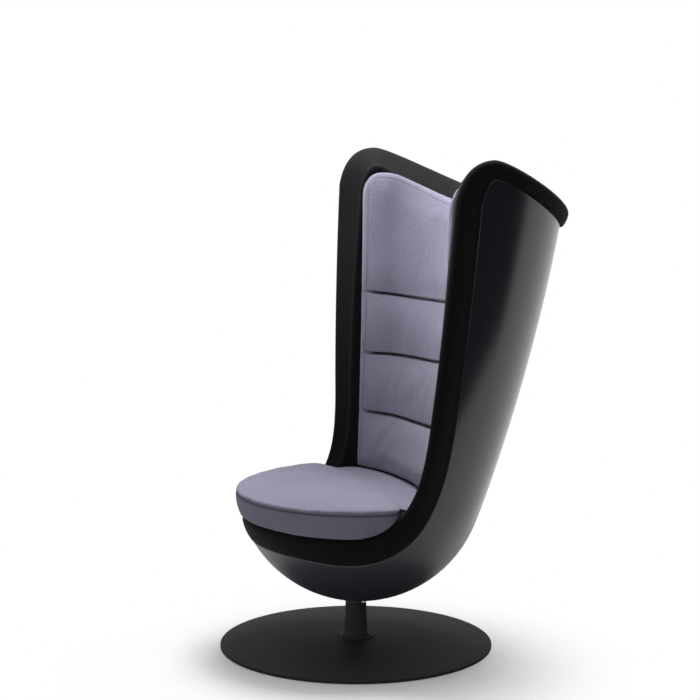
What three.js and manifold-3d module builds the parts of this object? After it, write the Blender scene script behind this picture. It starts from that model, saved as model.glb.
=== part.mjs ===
// High-backed pod chair: a moulded tub with two wings, padded inside, that swivels on a round steel base.
// Millimetres, +Z up. The origin is on the floor under the column, and the chair faces -Y.
import * as THREE from "three";
import { mergeVertices } from "three/addons/utils/BufferGeometryUtils.js";
import Module from "manifold-3d";

const wasm = await Module();
wasm.setup();

// Gaps between pieces
const FIT_GAP = 0.3;
const RUNNING_CLEARANCE = 0.3;
const FABRIC_CLEARANCE = 0.9;
const BACK_CLEARANCE = 2;
const SEAT_CLEARANCE = 3;
const CUT_OVERRUN = 40;
const WELD_TOLERANCE = 0.0001;

// Base: floor pad, ballast plate and spun cover
const BASE_RADIUS = 350;
const PAD_THICKNESS = 1.5;
const PAD_INSET = 14;
const BALLAST_THICKNESS = 4;
const COVER_SHEET = 2;
const COVER_RISE = 15;
const COVER_EDGE_RADIUS = 2.6;
const COVER_FLOOR_GAP = 1;
const COVER_FLAT_MARGIN = 4;

// Column and the bearing inside it
const COLUMN_HEIGHT = 90;
const COLUMN_TOP_RADIUS = 26.8;
const COLUMN_FOOT_RADIUS = 29.5;
const FOOT_FLARE_RADIUS = 17.5;
const FOOT_EDGE = 1.5;
const SPINDLE_RADIUS = 15;
const BUSH_WALL = 3.4;
const BORE_STEP = 2;
const UPPER_BUSH_LENGTH = 25;
const LOWER_BUSH_LENGTH = 20;
const BUSH_FLANGE_WIDTH = 5.3;
const BUSH_FLANGE_THICKNESS = 3;
const THRUST_WASHER_THICKNESS = 2;
const CLIP_WASHER_THICKNESS = 2;
const CLIP_THICKNESS = 2;
const CLIP_WIDTH = 3;
const CLIP_GROOVE_DEPTH = 1.5;
const CLIP_MOUTH_ANGLE = 0.7;
const SPINDLE_TAIL = 5;
const COLLAR_PROUD = 0.7;
const NECK_HEIGHT = 10;

// Screws that hold the column to the base
const BASE_SCREW_COUNT = 4;
const BASE_SCREW_RADIUS = 4;
const BASE_SCREW_HEAD_RADIUS = 7;
const BASE_SCREW_HEAD_HEIGHT = 3;
const BASE_SCREW_GRIP = 14;
const BOSS_RADIUS = 46;

// Mounting plate under the tub, its bolts, and the posts and screws of the outer shell
const HUB_RADIUS = 21;
const PLATE_LIFT = 27;
const PLATE_SIDE = 150;
const PLATE_CORNER_RADIUS = 18;
const PLATE_THICKNESS = 6;
const PLATE_SPIGOT_RADIUS = 14;
const PLATE_BOLT_SPACING = 104;
const BOLT_RADIUS = 4;
const BOLT_HEAD_RADIUS = 7;
const BOLT_HEAD_HEIGHT = 5.3;
const BOLT_TAIL = 3;
const WASHER_RADIUS = 9;
const WASHER_THICKNESS = 1.6;
const POST_RADIUS = 7;
const POST_CIRCLE_RADIUS = 60;
const SHELL_SCREW_RADIUS = 2.5;
const SHELL_SCREW_HEAD_RADIUS = 5.5;
const SHELL_SCREW_HEAD_HEIGHT = 2.5;
const SHELL_HOLE_MARGIN = 3;

// Tub: a spherical bowl that flares upward and leans back
const BOWL_RADIUS = 318;
const BOWL_SETBACK = 10;
const BOWL_JOIN_DROP = 116;
const THROAT_FLARE = 3;
const THROAT_SETBACK = 28.6;
const WING_HEIGHT = 821;
const WING_TOP_RADIUS = 427;
const WING_TOP_SETBACK = 122;
const FLARE_EASE_SHARE = 0.76;
const OUTER_SHELL_WALL = 5;
const SHELL_SPACING = 4;
const INNER_SHELL_WALL = 8;

// Upholstered liner: the edge roll, the black band outside the rim and the padding inside it
const NOSE_RADIUS = 14;
const NOSE_PROUD_FRONT = 2;
const NOSE_PROUD_WING = 10;
const NOSE_PROUD_BACK = 17;
const EDGE_DEPTH = 72;
const EDGE_HEIGHT = 58;
const EDGE_CORNER = 12;
const EDGE_SLOPE_FRONT = 4;
const EDGE_SLOPE_WING = 30;
const BAND_PROUD = 2;
const PADDING_INSET = 42;
const INNER_EDGE_INSET = 30;
const FRONT_BAND_WIDTH = 56;
const WING_BAND_WIDTH = 68;
const TOP_BAND_WIDTH = 41;

// Inner face of the back cushion, low at the seat and high at the top of the wings.
// At the seat it lies inside the tub's throat by one depth at the sides and another at the back.
const PADDING_SIDE_DEPTH = 67;
const PADDING_BACK_DEPTH = 191;
const BACK_HALF_WIDTH_HIGH = 310;
const BACK_MIDDLE_HIGH = 325;
const BACK_DEPTH_LOW = 68;
const BACK_DEPTH_HIGH = 287;
const BACK_EDGE_ANGLE = 1.3;
const BACK_CUSHION_THICKNESS = 26.5;
const SEAT_TAPER = 24;
const BACK_TOP_SETBACK = 60;
const BACK_TOP_DIP = 32;
const BACK_CORNER_DROP = 28;
const BACK_CORNER_SHARE = 0.11;
const BACK_TOP_DIP_POWER = 1.5;
const BACK_PANEL_PUFF = 9;
const BACK_CHANNEL_SHARES = [0.1745, 0.3771, 0.5887];
const STRIP_THICKNESS = 1.6;
const STRIP_WIDTH = 40;
const STRIP_SPACING = 220;
const STRIP_HEIGHT_SHARES = [0.1, 0.78];

// Seat: ledge, board, base foam and the loose cushion with its round front lobe
const LEDGE_DROP = 146;
const LEDGE_THICKNESS = 8;
const LEDGE_WIDTH = 36;
const BOARD_THICKNESS = 15;
const BOARD_MARGIN = 7;
const BOARD_SCREW_COUNT = 4;
const BOARD_SCREW_RADIUS = 2.4;
const BOARD_SCREW_HEAD_RADIUS = 4.8;
const BOARD_SCREW_HEAD_HEIGHT = 3;
const BOARD_SCREW_LENGTH = 24;
const WELL_INSET = 12.4;
const SEAT_BOTTOM_DROP = 105;
const SEAT_TOP_DROP = 23;
const SEAT_CROWN = 7;
const SEAT_LOBE_RADIUS = 320;
const SEAT_LOBE_END = 8;
const SEAT_CENTRE_SETBACK = -50;

// Side outline of the rim. Bowl points are shares of the bowl's radius, from the bowl's centre.
const RIM_FRONT_SHARES = [-1.15, -0.299];
const RIM_SIDE_SHARES = [-0.44, -0.324];
const RIM_SIDE_PULL_SHARES = [-0.15, -0.327];
const RIM_THROAT_PULL_SHARES = [0.0, -0.21];
const RIM_THROAT_SHARES = [0.094, 0.044];
// Wing points are shares of the wing's top radius and of its height, from the bowl's centre.
const RIM_SHOULDER_PULL_SHARES = [0.117, 0.084];
const RIM_SHOULDER_SHARES = [0.131, 0.242];
const RIM_FRONT_TOP_SHARES = [0.21, 0.88];
const RIM_CORNER_PULL_SHARES = [0.26, 1.0];
const RIM_PEAK_SHARES = [0.443, 1.0];
const RIM_PEAK_PULL_SHARES = [0.55, 1.0];
const RIM_BACK_PULL_SHARES = [1.03, 0.86];
const RIM_BACK_SHARES = [1.282, 0.78];
// Where the black band has narrowed, as a share of the wing's top radius
const BAND_NARROW_SHARE = 0.55;

// Numbers of facets
const ROUND_FACETS = 20;
const HEAD_FACETS = 6;
const EDGE_STEPS = 4;
const FLARE_STEPS = 6;
const CORNER_STEPS = 5;
const CLIP_STEPS = 12;
const DISC_FACETS = 48;
const SHELL_FACETS = 48;
const INNER_FACETS = 24;
const BOWL_STEPS = 5;
const JOIN_STEPS = 2;
const WING_STEPS = 6;
const FACE_FACETS = 22;
const FACE_STEPS = 8;
const EDGE_RINGS = 96;
const NOSE_STEPS = 4;
const OUTLINE_STEPS = 7;
const CURVE_SAMPLES = 240;
const SEAT_OUTLINE_FACETS = 52;
const BACK_COLUMNS = 20;
const PANEL_ROWS = 5;
const TOP_EDGE_ROUNDS = 12;

// Heights stacked up from the floor
const ballastBottom = PAD_THICKNESS + FIT_GAP;
const ballastTop = ballastBottom + BALLAST_THICKNESS;
const coverEdgeTop = ballastTop + FIT_GAP + COVER_SHEET;
const coverTop = coverEdgeTop + COVER_RISE;
const columnBottom = coverTop + FIT_GAP;
const columnTop = columnBottom + COLUMN_HEIGHT;
const flangeTop = columnTop + FIT_GAP + BUSH_FLANGE_THICKNESS;
const thrustTop = flangeTop + FIT_GAP + THRUST_WASHER_THICKNESS;
const hubBottom = thrustTop + FIT_GAP;
const shellBottom = columnTop + NECK_HEIGHT;
const bowlCentre = shellBottom + BOWL_RADIUS;
const plateBottom = shellBottom + PLATE_LIFT;
const plateTop = plateBottom + PLATE_THICKNESS;
const tubFloorBottom = plateTop + FIT_GAP;
const tubFloorTop = tubFloorBottom + INNER_SHELL_WALL;
const ledgeTop = bowlCentre - LEDGE_DROP;
const boardBottom = ledgeTop + FIT_GAP;
const boardTop = boardBottom + BOARD_THICKNESS;
const seatBottom = bowlCentre - SEAT_BOTTOM_DROP;
const seatEdgeTop = bowlCentre - SEAT_TOP_DROP;
const joinHeight = bowlCentre - BOWL_JOIN_DROP;
const wingTop = bowlCentre + WING_HEIGHT;
const loftTop = wingTop + CUT_OVERRUN;

const throatRadius = BOWL_RADIUS + THROAT_FLARE;
const backHalfWidthLow = throatRadius - PADDING_SIDE_DEPTH;
const backMiddleLow = throatRadius - PADDING_BACK_DEPTH;

// Offsets of the nested walls from the outer face of the tub
const outerShellInside = -OUTER_SHELL_WALL;
const innerShellOutside = outerShellInside - SHELL_SPACING;
const innerShellInside = innerShellOutside - INNER_SHELL_WALL;
const linerOffset = BACK_CUSHION_THICKNESS + BACK_CLEARANCE + STRIP_THICKNESS + FIT_GAP;

const bushInner = SPINDLE_RADIUS + RUNNING_CLEARANCE;
const bushOuter = bushInner + BUSH_WALL;
const boreRadius = bushOuter + FIT_GAP;

// Surface finishes
const finish = (color, roughness, metalness) => ({ color, roughness, metalness });
const POWDER_BLACK = finish(0x2c2c2f, 0.55, 0.3);
const SATIN_BLACK = finish(0x2a292c, 0.38, 0.0);
const BLACK_PLASTIC = finish(0x111112, 0.6, 0.0);
const NYLON = finish(0xd9d6cc, 0.5, 0.0);
const ZINC_STEEL = finish(0xa4a7ab, 0.35, 0.9);
const RAW_STEEL = finish(0x5c5f63, 0.5, 0.85);
const BLACK_FABRIC = finish(0x161517, 0.95, 0.0);
const LAVENDER_FABRIC = finish(0x8f8b9e, 0.95, 0.0);
const FOAM = finish(0xcfc9b4, 0.95, 0.0);
const PLYWOOD = finish(0xb58f5f, 0.75, 0.0);
const FELT = finish(0x1b1b1c, 1.0, 0.0);

const chair = new THREE.Group();
const base = new THREE.Group();
const tub = new THREE.Group();
chair.add(base, tub);

// Turns a closed geometry into a solid that can be joined and cut.
function solid(geometry) {
  const bare = geometry.index ? geometry.toNonIndexed() : geometry.clone();
  bare.deleteAttribute("normal");
  bare.deleteAttribute("uv");
  const merged = mergeVertices(bare, WELD_TOLERANCE);
  return new wasm.Manifold(
    new wasm.Mesh({
      numProp: 3,
      vertProperties: merged.attributes.position.array,
      triVerts: new Uint32Array(merged.index.array),
    }),
  );
}

// Turns a solid back into a geometry.
function geometryOf(body) {
  const mesh = body.getMesh();
  const geometry = new THREE.BufferGeometry();
  const positions = new Float32Array(mesh.numVert * mesh.numProp);
  positions.set(mesh.vertProperties.subarray(0, positions.length));
  geometry.setAttribute("position", new THREE.BufferAttribute(positions, 3));
  geometry.setIndex(new THREE.BufferAttribute(new Uint32Array(mesh.triVerts), 1));
  const flat = geometry.toNonIndexed();
  flat.computeVertexNormals();
  return flat;
}

function add(group, name, shape, look) {
  const geometry = shape.isBufferGeometry ? shape : geometryOf(shape);
  const mesh = new THREE.Mesh(geometry, new THREE.MeshStandardMaterial(look));
  mesh.name = name;
  group.add(mesh);
  return mesh;
}

// A body of revolution about Z from [radius, height] points that go up the outside.
function turned(points, facets = ROUND_FACETS) {
  const profile = points.map(([radius, height]) => new THREE.Vector2(radius, height));
  if (profile[0].x > 0) profile.push(profile[0].clone());
  return solid(new THREE.LatheGeometry(profile, facets).rotateX(Math.PI / 2));
}

function ring(inner, outer, bottom, top, facets = ROUND_FACETS) {
  return turned([[inner, bottom], [outer, bottom], [outer, top], [inner, top]], facets);
}

function rod(radius, bottom, top, facets = ROUND_FACETS) {
  return turned([[0, bottom], [radius, bottom], [radius, top], [0, top]], facets);
}

// Points spaced evenly on a circle about the column.
function aroundColumn(count, radius, start = 0) {
  return Array.from({ length: count }, (_, i) => {
    const angle = start + (i / count) * Math.PI * 2;
    return [radius * Math.cos(angle), radius * Math.sin(angle)];
  });
}

const joined = (bodies) => bodies.reduce((whole, body) => whole.add(body));

// Leaves out the slivers a cut can shed.
function largest(body) {
  return body.decompose().reduce((best, part) => (part.volume() > best.volume() ? part : best));
}

// Floor pad and ballast plate
function makeFloorPad() {
  return rod(BASE_RADIUS - PAD_INSET, 0, PAD_THICKNESS, DISC_FACETS);
}

const coverInside = BASE_RADIUS - COVER_SHEET;
const baseScrewCircle = (boreRadius + COLUMN_FOOT_RADIUS) / 2;
const baseScrewPlaces = aroundColumn(BASE_SCREW_COUNT, baseScrewCircle, Math.PI / BASE_SCREW_COUNT);

// A countersunk screw standing on its head, with an allowance all round for the hole it needs.
function baseScrew(allowance) {
  const headRadius = BASE_SCREW_HEAD_RADIUS + allowance;
  const shankRadius = BASE_SCREW_RADIUS + allowance;
  const bottom = allowance > 0 ? ballastBottom - allowance : ballastBottom;
  const neck = ballastBottom + BASE_SCREW_HEAD_HEIGHT;
  const tip = columnBottom + BASE_SCREW_GRIP + allowance;
  const facets = ROUND_FACETS / 2;
  const head = [[0, bottom], [headRadius, bottom], [shankRadius, neck]];
  return turned([...head, [shankRadius, tip], [0, tip]], facets);
}

const baseScrewHoles = joined(baseScrewPlaces.map(([x, y]) => baseScrew(FIT_GAP).translate([x, y, 0])));

function makeBallastPlate() {
  const radius = coverInside - FIT_GAP;
  return rod(radius, ballastBottom, ballastTop, DISC_FACETS).subtract(baseScrewHoles);
}

// The cover's profile: a short skirt, a rolled edge, a shallow cone and a flat for the column's foot.
function makeBaseCover() {
  const flatRadius = COLUMN_FOOT_RADIUS + FOOT_FLARE_RADIUS + COVER_FLAT_MARGIN;
  const holeRadius = COLUMN_FOOT_RADIUS + FIT_GAP;
  const outside = [[BASE_RADIUS, COVER_FLOOR_GAP]];
  for (let i = 0; i <= EDGE_STEPS; i++) {
    const turn = (i / EDGE_STEPS) * (Math.PI / 2);
    outside.push([
      BASE_RADIUS - COVER_EDGE_RADIUS * (1 - Math.cos(turn)),
      coverEdgeTop - COVER_EDGE_RADIUS * (1 - Math.sin(turn)),
    ]);
  }
  outside.push([flatRadius, coverTop], [holeRadius, coverTop]);
  const inside = [
    [holeRadius, coverTop - COVER_SHEET],
    [flatRadius, coverTop - COVER_SHEET],
    [coverInside, coverEdgeTop - COVER_SHEET],
    [coverInside, COVER_FLOOR_GAP],
  ];
  return turned([...outside, ...inside], DISC_FACETS);
}

// Steel boss between the ballast plate and the cover, with a spigot up to the column.
function makeHubBoss() {
  const bottom = ballastTop + FIT_GAP;
  const shoulder = coverTop - COVER_SHEET - FIT_GAP;
  const spigotRadius = COLUMN_FOOT_RADIUS;
  const body = turned([
    [0, bottom],
    [BOSS_RADIUS, bottom],
    [BOSS_RADIUS, shoulder],
    [spigotRadius, shoulder],
    [spigotRadius, coverTop],
    [0, coverTop],
  ]);
  return body.subtract(baseScrewHoles);
}

// Tapered column with a concave flare at its foot and a bore stepped for two bushes.
function makeColumn() {
  const flareTop = columnBottom + FOOT_EDGE + FOOT_FLARE_RADIUS;
  const outside = [];
  for (let i = 0; i <= FLARE_STEPS; i++) {
    const turn = (i / FLARE_STEPS) * (Math.PI / 2);
    outside.push([
      COLUMN_FOOT_RADIUS + FOOT_FLARE_RADIUS * (1 - Math.sin(turn)),
      flareTop - FOOT_FLARE_RADIUS * Math.cos(turn),
    ]);
  }
  const narrow = boreRadius - BORE_STEP;
  const upperStep = columnTop - UPPER_BUSH_LENGTH - FIT_GAP;
  const body = turned([
    [boreRadius, columnBottom],
    [COLUMN_FOOT_RADIUS + FOOT_FLARE_RADIUS, columnBottom],
    ...outside,
    [COLUMN_TOP_RADIUS, columnTop],
    [boreRadius, columnTop],
    [boreRadius, upperStep],
    [narrow, upperStep],
    [narrow, lowerBushTop + FIT_GAP],
    [boreRadius, lowerBushTop + FIT_GAP],
  ]);
  return body.subtract(baseScrewHoles);
}

// Bearing stack: bushes, washers and the clip on the spindle's tail
const spindleBottom = columnBottom + SPINDLE_TAIL;
const clipBottom = spindleBottom + CLIP_THICKNESS;
const clipTop = clipBottom + CLIP_THICKNESS;
const clipWasherBottom = clipTop + FIT_GAP;
const lowerBushBottom = clipWasherBottom + CLIP_WASHER_THICKNESS + FIT_GAP;
const lowerBushTop = lowerBushBottom + LOWER_BUSH_LENGTH;
const flangeRadius = bushInner + BUSH_WALL + BUSH_FLANGE_WIDTH;

function makeUpperBush() {
  const bottom = columnTop - UPPER_BUSH_LENGTH;
  const seat = columnTop + FIT_GAP;
  return turned([
    [bushInner, bottom],
    [bushOuter, bottom],
    [bushOuter, seat],
    [flangeRadius, seat],
    [flangeRadius, flangeTop],
    [bushInner, flangeTop],
  ]);
}

// A spring clip: an open ring whose mouth is cut by a wedge.
function makeClip() {
  const inner = SPINDLE_RADIUS - CLIP_GROOVE_DEPTH + FIT_GAP;
  const outer = inner + CLIP_WIDTH;
  const outline = new THREE.Shape();
  outline.absarc(0, 0, outer, CLIP_MOUTH_ANGLE / 2, Math.PI * 2 - CLIP_MOUTH_ANGLE / 2, false);
  outline.absarc(0, 0, inner, Math.PI * 2 - CLIP_MOUTH_ANGLE / 2, CLIP_MOUTH_ANGLE / 2, true);
  const settings = { depth: CLIP_THICKNESS, bevelEnabled: false, curveSegments: CLIP_STEPS };
  const geometry = new THREE.ExtrudeGeometry(outline, settings);
  return solid(geometry.translate(0, 0, clipBottom));
}

// Spindle: shaft with the clip's groove, a hub above the thrust washer and a spigot through the plate.
function makeSpindle() {
  const groove = SPINDLE_RADIUS - CLIP_GROOVE_DEPTH;
  return turned([
    [0, spindleBottom],
    [SPINDLE_RADIUS, spindleBottom],
    [SPINDLE_RADIUS, clipBottom - FIT_GAP],
    [groove, clipBottom - FIT_GAP],
    [groove, clipTop + FIT_GAP],
    [SPINDLE_RADIUS, clipTop + FIT_GAP],
    [SPINDLE_RADIUS, hubBottom],
    [HUB_RADIUS, hubBottom],
    [HUB_RADIUS, plateBottom - FIT_GAP],
    [PLATE_SPIGOT_RADIUS, plateBottom - FIT_GAP],
    [PLATE_SPIGOT_RADIUS, plateTop],
    [0, plateTop],
  ]);
}

// Black ring that hides the bearing between the column and the shell
function makeCollar() {
  const outer = COLUMN_TOP_RADIUS + COLLAR_PROUD;
  const top = shellBottom - RUNNING_CLEARANCE - FIT_GAP;
  return ring(flangeRadius + FIT_GAP, outer, columnTop + FIT_GAP, top);
}

const boltPlaces = [[1, 1], [-1, 1], [-1, -1], [1, -1]].map(([x, y]) => [
  (x * PLATE_BOLT_SPACING) / 2,
  (y * PLATE_BOLT_SPACING) / 2,
]);
const postPlaces = aroundColumn(4, POST_CIRCLE_RADIUS);

function drilled(body, places, radius, bottom, top) {
  const hole = rod(radius, bottom, top, ROUND_FACETS / 2);
  return body.subtract(joined(places.map(([x, y]) => hole.translate([x, y, 0]))));
}

function makeSeatPlate() {
  const half = PLATE_SIDE / 2;
  const corner = PLATE_CORNER_RADIUS;
  const outline = new THREE.Shape();
  outline.absarc(half - corner, half - corner, corner, 0, Math.PI / 2, false);
  outline.absarc(corner - half, half - corner, corner, Math.PI / 2, Math.PI, false);
  outline.absarc(corner - half, corner - half, corner, Math.PI, Math.PI * 1.5, false);
  outline.absarc(half - corner, corner - half, corner, Math.PI * 1.5, Math.PI * 2, false);
  const settings = { depth: PLATE_THICKNESS, bevelEnabled: false, curveSegments: CORNER_STEPS };
  const geometry = new THREE.ExtrudeGeometry(outline, settings);
  const low = plateBottom - CUT_OVERRUN;
  const high = plateTop + CUT_OVERRUN;
  const plate = solid(geometry.translate(0, 0, plateBottom));
  const centred = plate.subtract(rod(PLATE_SPIGOT_RADIUS + FIT_GAP, low, high));
  const bolted = drilled(centred, boltPlaces, BOLT_RADIUS + FIT_GAP, low, high);
  return drilled(bolted, postPlaces, SHELL_SCREW_RADIUS + FIT_GAP, low, high);
}

function makePlateBolt() {
  const headBottom = tubFloorTop + FIT_GAP + WASHER_THICKNESS + FIT_GAP;
  const head = rod(BOLT_HEAD_RADIUS, headBottom, headBottom + BOLT_HEAD_HEIGHT, HEAD_FACETS);
  return head.add(rod(BOLT_RADIUS, plateBottom - BOLT_TAIL, headBottom, ROUND_FACETS / 2));
}

function makePlateWasher() {
  const bottom = tubFloorTop + FIT_GAP;
  return ring(BOLT_RADIUS + FIT_GAP, WASHER_RADIUS, bottom, bottom + WASHER_THICKNESS, ROUND_FACETS / 2);
}

// The tub's form: at each height a round section with a radius and a setback of its centre.
function wingShare(height) {
  const u = (height - bowlCentre) / WING_HEIGHT;
  return u * (1 + FLARE_EASE_SHARE * (1 - u));
}

const wingSection = (height) => ({
  radius: throatRadius + (WING_TOP_RADIUS - throatRadius) * wingShare(height),
  setback: THROAT_SETBACK + ((WING_TOP_SETBACK - THROAT_SETBACK) * (height - bowlCentre)) / WING_HEIGHT,
});

// Smooth step from one value and slope to another.
function blend(u, from, fromSlope, to, toSlope, span) {
  const v = 1 - u;
  const leaving = v * v * ((1 + 2 * u) * from + u * span * fromSlope);
  const arriving = u * u * ((1 + 2 * v) * to - v * span * toSlope);
  return leaving + arriving;
}

const bowlSectionRadius = (height, offset) =>
  Math.sqrt(Math.max((BOWL_RADIUS + offset) ** 2 - (height - bowlCentre) ** 2, 0));

// Section of the tub at a height, on the outer face moved by an offset.
function section(height, offset = 0) {
  if (height >= bowlCentre) {
    const wing = wingSection(height);
    return { radius: wing.radius + offset, setback: wing.setback };
  }
  const bowlRadius = bowlSectionRadius(height, offset);
  if (height <= joinHeight) return { radius: bowlRadius, setback: BOWL_SETBACK };
  const join = bowlSectionRadius(joinHeight, 0);
  const u = (height - joinHeight) / BOWL_JOIN_DROP;
  const flareSlope = ((WING_TOP_RADIUS - throatRadius) * (1 + FLARE_EASE_SHARE)) / WING_HEIGHT;
  const leanSlope = (WING_TOP_SETBACK - THROAT_SETBACK) / WING_HEIGHT;
  return {
    radius: blend(u, join, BOWL_JOIN_DROP / join, throatRadius, flareSlope, BOWL_JOIN_DROP) + offset,
    setback: blend(u, BOWL_SETBACK, 0, THROAT_SETBACK, leanSlope, BOWL_JOIN_DROP),
  };
}

// The whole space inside the tub's outer face moved by an offset, closed flat at the top.
function tubSolid(offset, facets = SHELL_FACETS) {
  const rings = [];
  const joinAngle = Math.acos(BOWL_JOIN_DROP / BOWL_RADIUS);
  for (let i = 1; i <= BOWL_STEPS; i++) {
    const angle = (i / BOWL_STEPS) * joinAngle;
    const reach = BOWL_RADIUS + offset;
    const height = bowlCentre - reach * Math.cos(angle);
    rings.push({ height, radius: reach * Math.sin(angle), setback: BOWL_SETBACK });
  }
  for (let i = 1; i <= JOIN_STEPS; i++) {
    const height = joinHeight + (i / JOIN_STEPS) * BOWL_JOIN_DROP;
    rings.push({ height, ...section(height, offset) });
  }
  for (let i = 1; i <= WING_STEPS; i++) {
    const height = bowlCentre + (i / WING_STEPS) * (loftTop - bowlCentre);
    rings.push({ height, ...section(height, offset) });
  }
  const loops = rings.map(({ height, radius, setback }) =>
    Array.from({ length: facets }, (_, k) => {
      const angle = (k / facets) * Math.PI * 2;
      return new THREE.Vector3(radius * Math.cos(angle), setback + radius * Math.sin(angle), height);
    }),
  );
  const top = rings[rings.length - 1];
  const pole = new THREE.Vector3(0, BOWL_SETBACK, bowlCentre - BOWL_RADIUS - offset);
  return solid(loft(loops, pole, new THREE.Vector3(0, top.setback, top.height)));
}

// Skins closed loops of equally many points, listed bottom up and anticlockwise seen from above.
function loft(loops, bottomPole, topPole) {
  const count = loops[0].length;
  const points = [...loops.flat(), bottomPole, topPole];
  const bottom = points.length - 2;
  const top = points.length - 1;
  const faces = [];
  for (let k = 0; k < count; k++) {
    const next = (k + 1) % count;
    faces.push(bottom, next, k);
    for (let j = 0; j + 1 < loops.length; j++) {
      const low = j * count;
      const high = low + count;
      faces.push(low + k, low + next, high + next, low + k, high + next, high + k);
    }
    const last = (loops.length - 1) * count;
    faces.push(top, last + k, last + next);
  }
  return indexed(points, faces);
}

function indexed(points, faces) {
  const geometry = new THREE.BufferGeometry().setFromPoints(points);
  geometry.setIndex(faces);
  return geometry;
}

// The rim's side outline in the Y-Z plane, from the front lip over the wing's peak to the back.
function rimOutline() {
  const bowlPoint = ([y, z]) => [BOWL_SETBACK + y * BOWL_RADIUS, bowlCentre + z * BOWL_RADIUS];
  const wingPoint = ([y, z]) => [BOWL_SETBACK + y * WING_TOP_RADIUS, bowlCentre + z * WING_HEIGHT];
  const path = new THREE.Path();
  path.moveTo(...bowlPoint(RIM_FRONT_SHARES));
  path.lineTo(...bowlPoint(RIM_SIDE_SHARES));
  path.bezierCurveTo(
    ...bowlPoint(RIM_SIDE_PULL_SHARES),
    ...bowlPoint(RIM_THROAT_PULL_SHARES),
    ...bowlPoint(RIM_THROAT_SHARES),
  );
  path.quadraticCurveTo(...wingPoint(RIM_SHOULDER_PULL_SHARES), ...wingPoint(RIM_SHOULDER_SHARES));
  path.lineTo(...wingPoint(RIM_FRONT_TOP_SHARES));
  path.quadraticCurveTo(...wingPoint(RIM_CORNER_PULL_SHARES), ...wingPoint(RIM_PEAK_SHARES));
  path.bezierCurveTo(
    ...wingPoint(RIM_PEAK_PULL_SHARES),
    ...wingPoint(RIM_BACK_PULL_SHARES),
    ...wingPoint(RIM_BACK_SHARES),
  );
  return path.getPoints(OUTLINE_STEPS);
}

const rim = rimOutline();

const rimPeakY = BOWL_SETBACK + RIM_PEAK_SHARES[0] * WING_TOP_RADIUS;

// Width of the black band at a point of the outline: front lip, wing, then the top to the back
function bandWidth(i) {
  const y = rim[i].x;
  const frontLip = BOWL_SETBACK - BOWL_RADIUS;
  const wing = THREE.MathUtils.smoothstep(y, frontLip, BOWL_SETBACK + RIM_SIDE_SHARES[0] * BOWL_RADIUS);
  const low = THREE.MathUtils.lerp(FRONT_BAND_WIDTH, WING_BAND_WIDTH, wing);
  const narrowing = [RIM_FRONT_TOP_SHARES[0], BAND_NARROW_SHARE];
  const [start, end] = narrowing.map((share) => BOWL_SETBACK + share * WING_TOP_RADIUS);
  const top = THREE.MathUtils.smoothstep(y, start, end);
  return THREE.MathUtils.lerp(low, TOP_BAND_WIDTH, top);
}

// Moves an outline sideways, to the right of its direction when the inset is positive.
function inset(points, distanceAt) {
  return points.map((point, i) => {
    const before = points[Math.max(i - 1, 0)];
    const after = points[Math.min(i + 1, points.length - 1)];
    const along = after.clone().sub(before).normalize();
    const distance = distanceAt(i);
    return new THREE.Vector2(point.x + along.y * distance, point.y - along.x * distance);
  });
}

// The space below and behind an outline, extruded through the whole width of the chair.
function sideBlock(outline) {
  const reach = WING_TOP_RADIUS + CUT_OVERRUN;
  const back = WING_TOP_SETBACK + WING_TOP_RADIUS + CUT_OVERRUN * 2;
  const shape = new THREE.Shape(outline.filter((point) => point.x < back));
  shape.lineTo(back, outline[outline.length - 1].y);
  shape.lineTo(back, -CUT_OVERRUN);
  shape.lineTo(outline[0].x, -CUT_OVERRUN);
  const geometry = new THREE.ExtrudeGeometry(shape, { depth: reach * 2, bevelEnabled: false });
  const turn = new THREE.Matrix4().makeBasis(
    new THREE.Vector3(0, 1, 0),
    new THREE.Vector3(0, 0, 1),
    new THREE.Vector3(1, 0, 0),
  );
  return solid(geometry.applyMatrix4(turn).translate(-reach, 0, 0));
}

// A slab of space between two heights, wider than the chair.
function layer(bottom, top) {
  const side = (WING_TOP_RADIUS + WING_TOP_SETBACK + CUT_OVERRUN) * 2;
  return solid(new THREE.BoxGeometry(side, side, top - bottom).translate(0, 0, (top + bottom) / 2));
}

function cylinderAt(y, radius, bottom, top, facets = SHELL_FACETS) {
  return rod(radius, bottom, top, facets).translate([0, y, 0]);
}

// Inner face of the back: half an ellipse at each height, which widens and leans back going up.
function backRise(height) {
  const u = THREE.MathUtils.clamp((height - seatEdgeTop) / (wingTop - seatEdgeTop), 0, 1);
  return 1 - (1 - u) ** 2;
}

function backEllipse(height, offset) {
  const rise = backRise(height);
  const middle = THREE.MathUtils.lerp(backMiddleLow, BACK_MIDDLE_HIGH, rise);
  const depth = THREE.MathUtils.lerp(BACK_DEPTH_LOW, BACK_DEPTH_HIGH, rise);
  const halfWidth = THREE.MathUtils.lerp(backHalfWidthLow, BACK_HALF_WIDTH_HIGH, rise);
  return { halfWidth: halfWidth + offset, depth: depth + offset, centre: BOWL_SETBACK + middle - depth };
}

// A point on the inner face at an angle from straight back, moved by an offset away from the sitter.
function backPoint(angle, height, offset) {
  const { halfWidth, depth, centre } = backEllipse(height, offset);
  return new THREE.Vector3(halfWidth * Math.sin(angle), centre + depth * Math.cos(angle), height);
}

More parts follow.
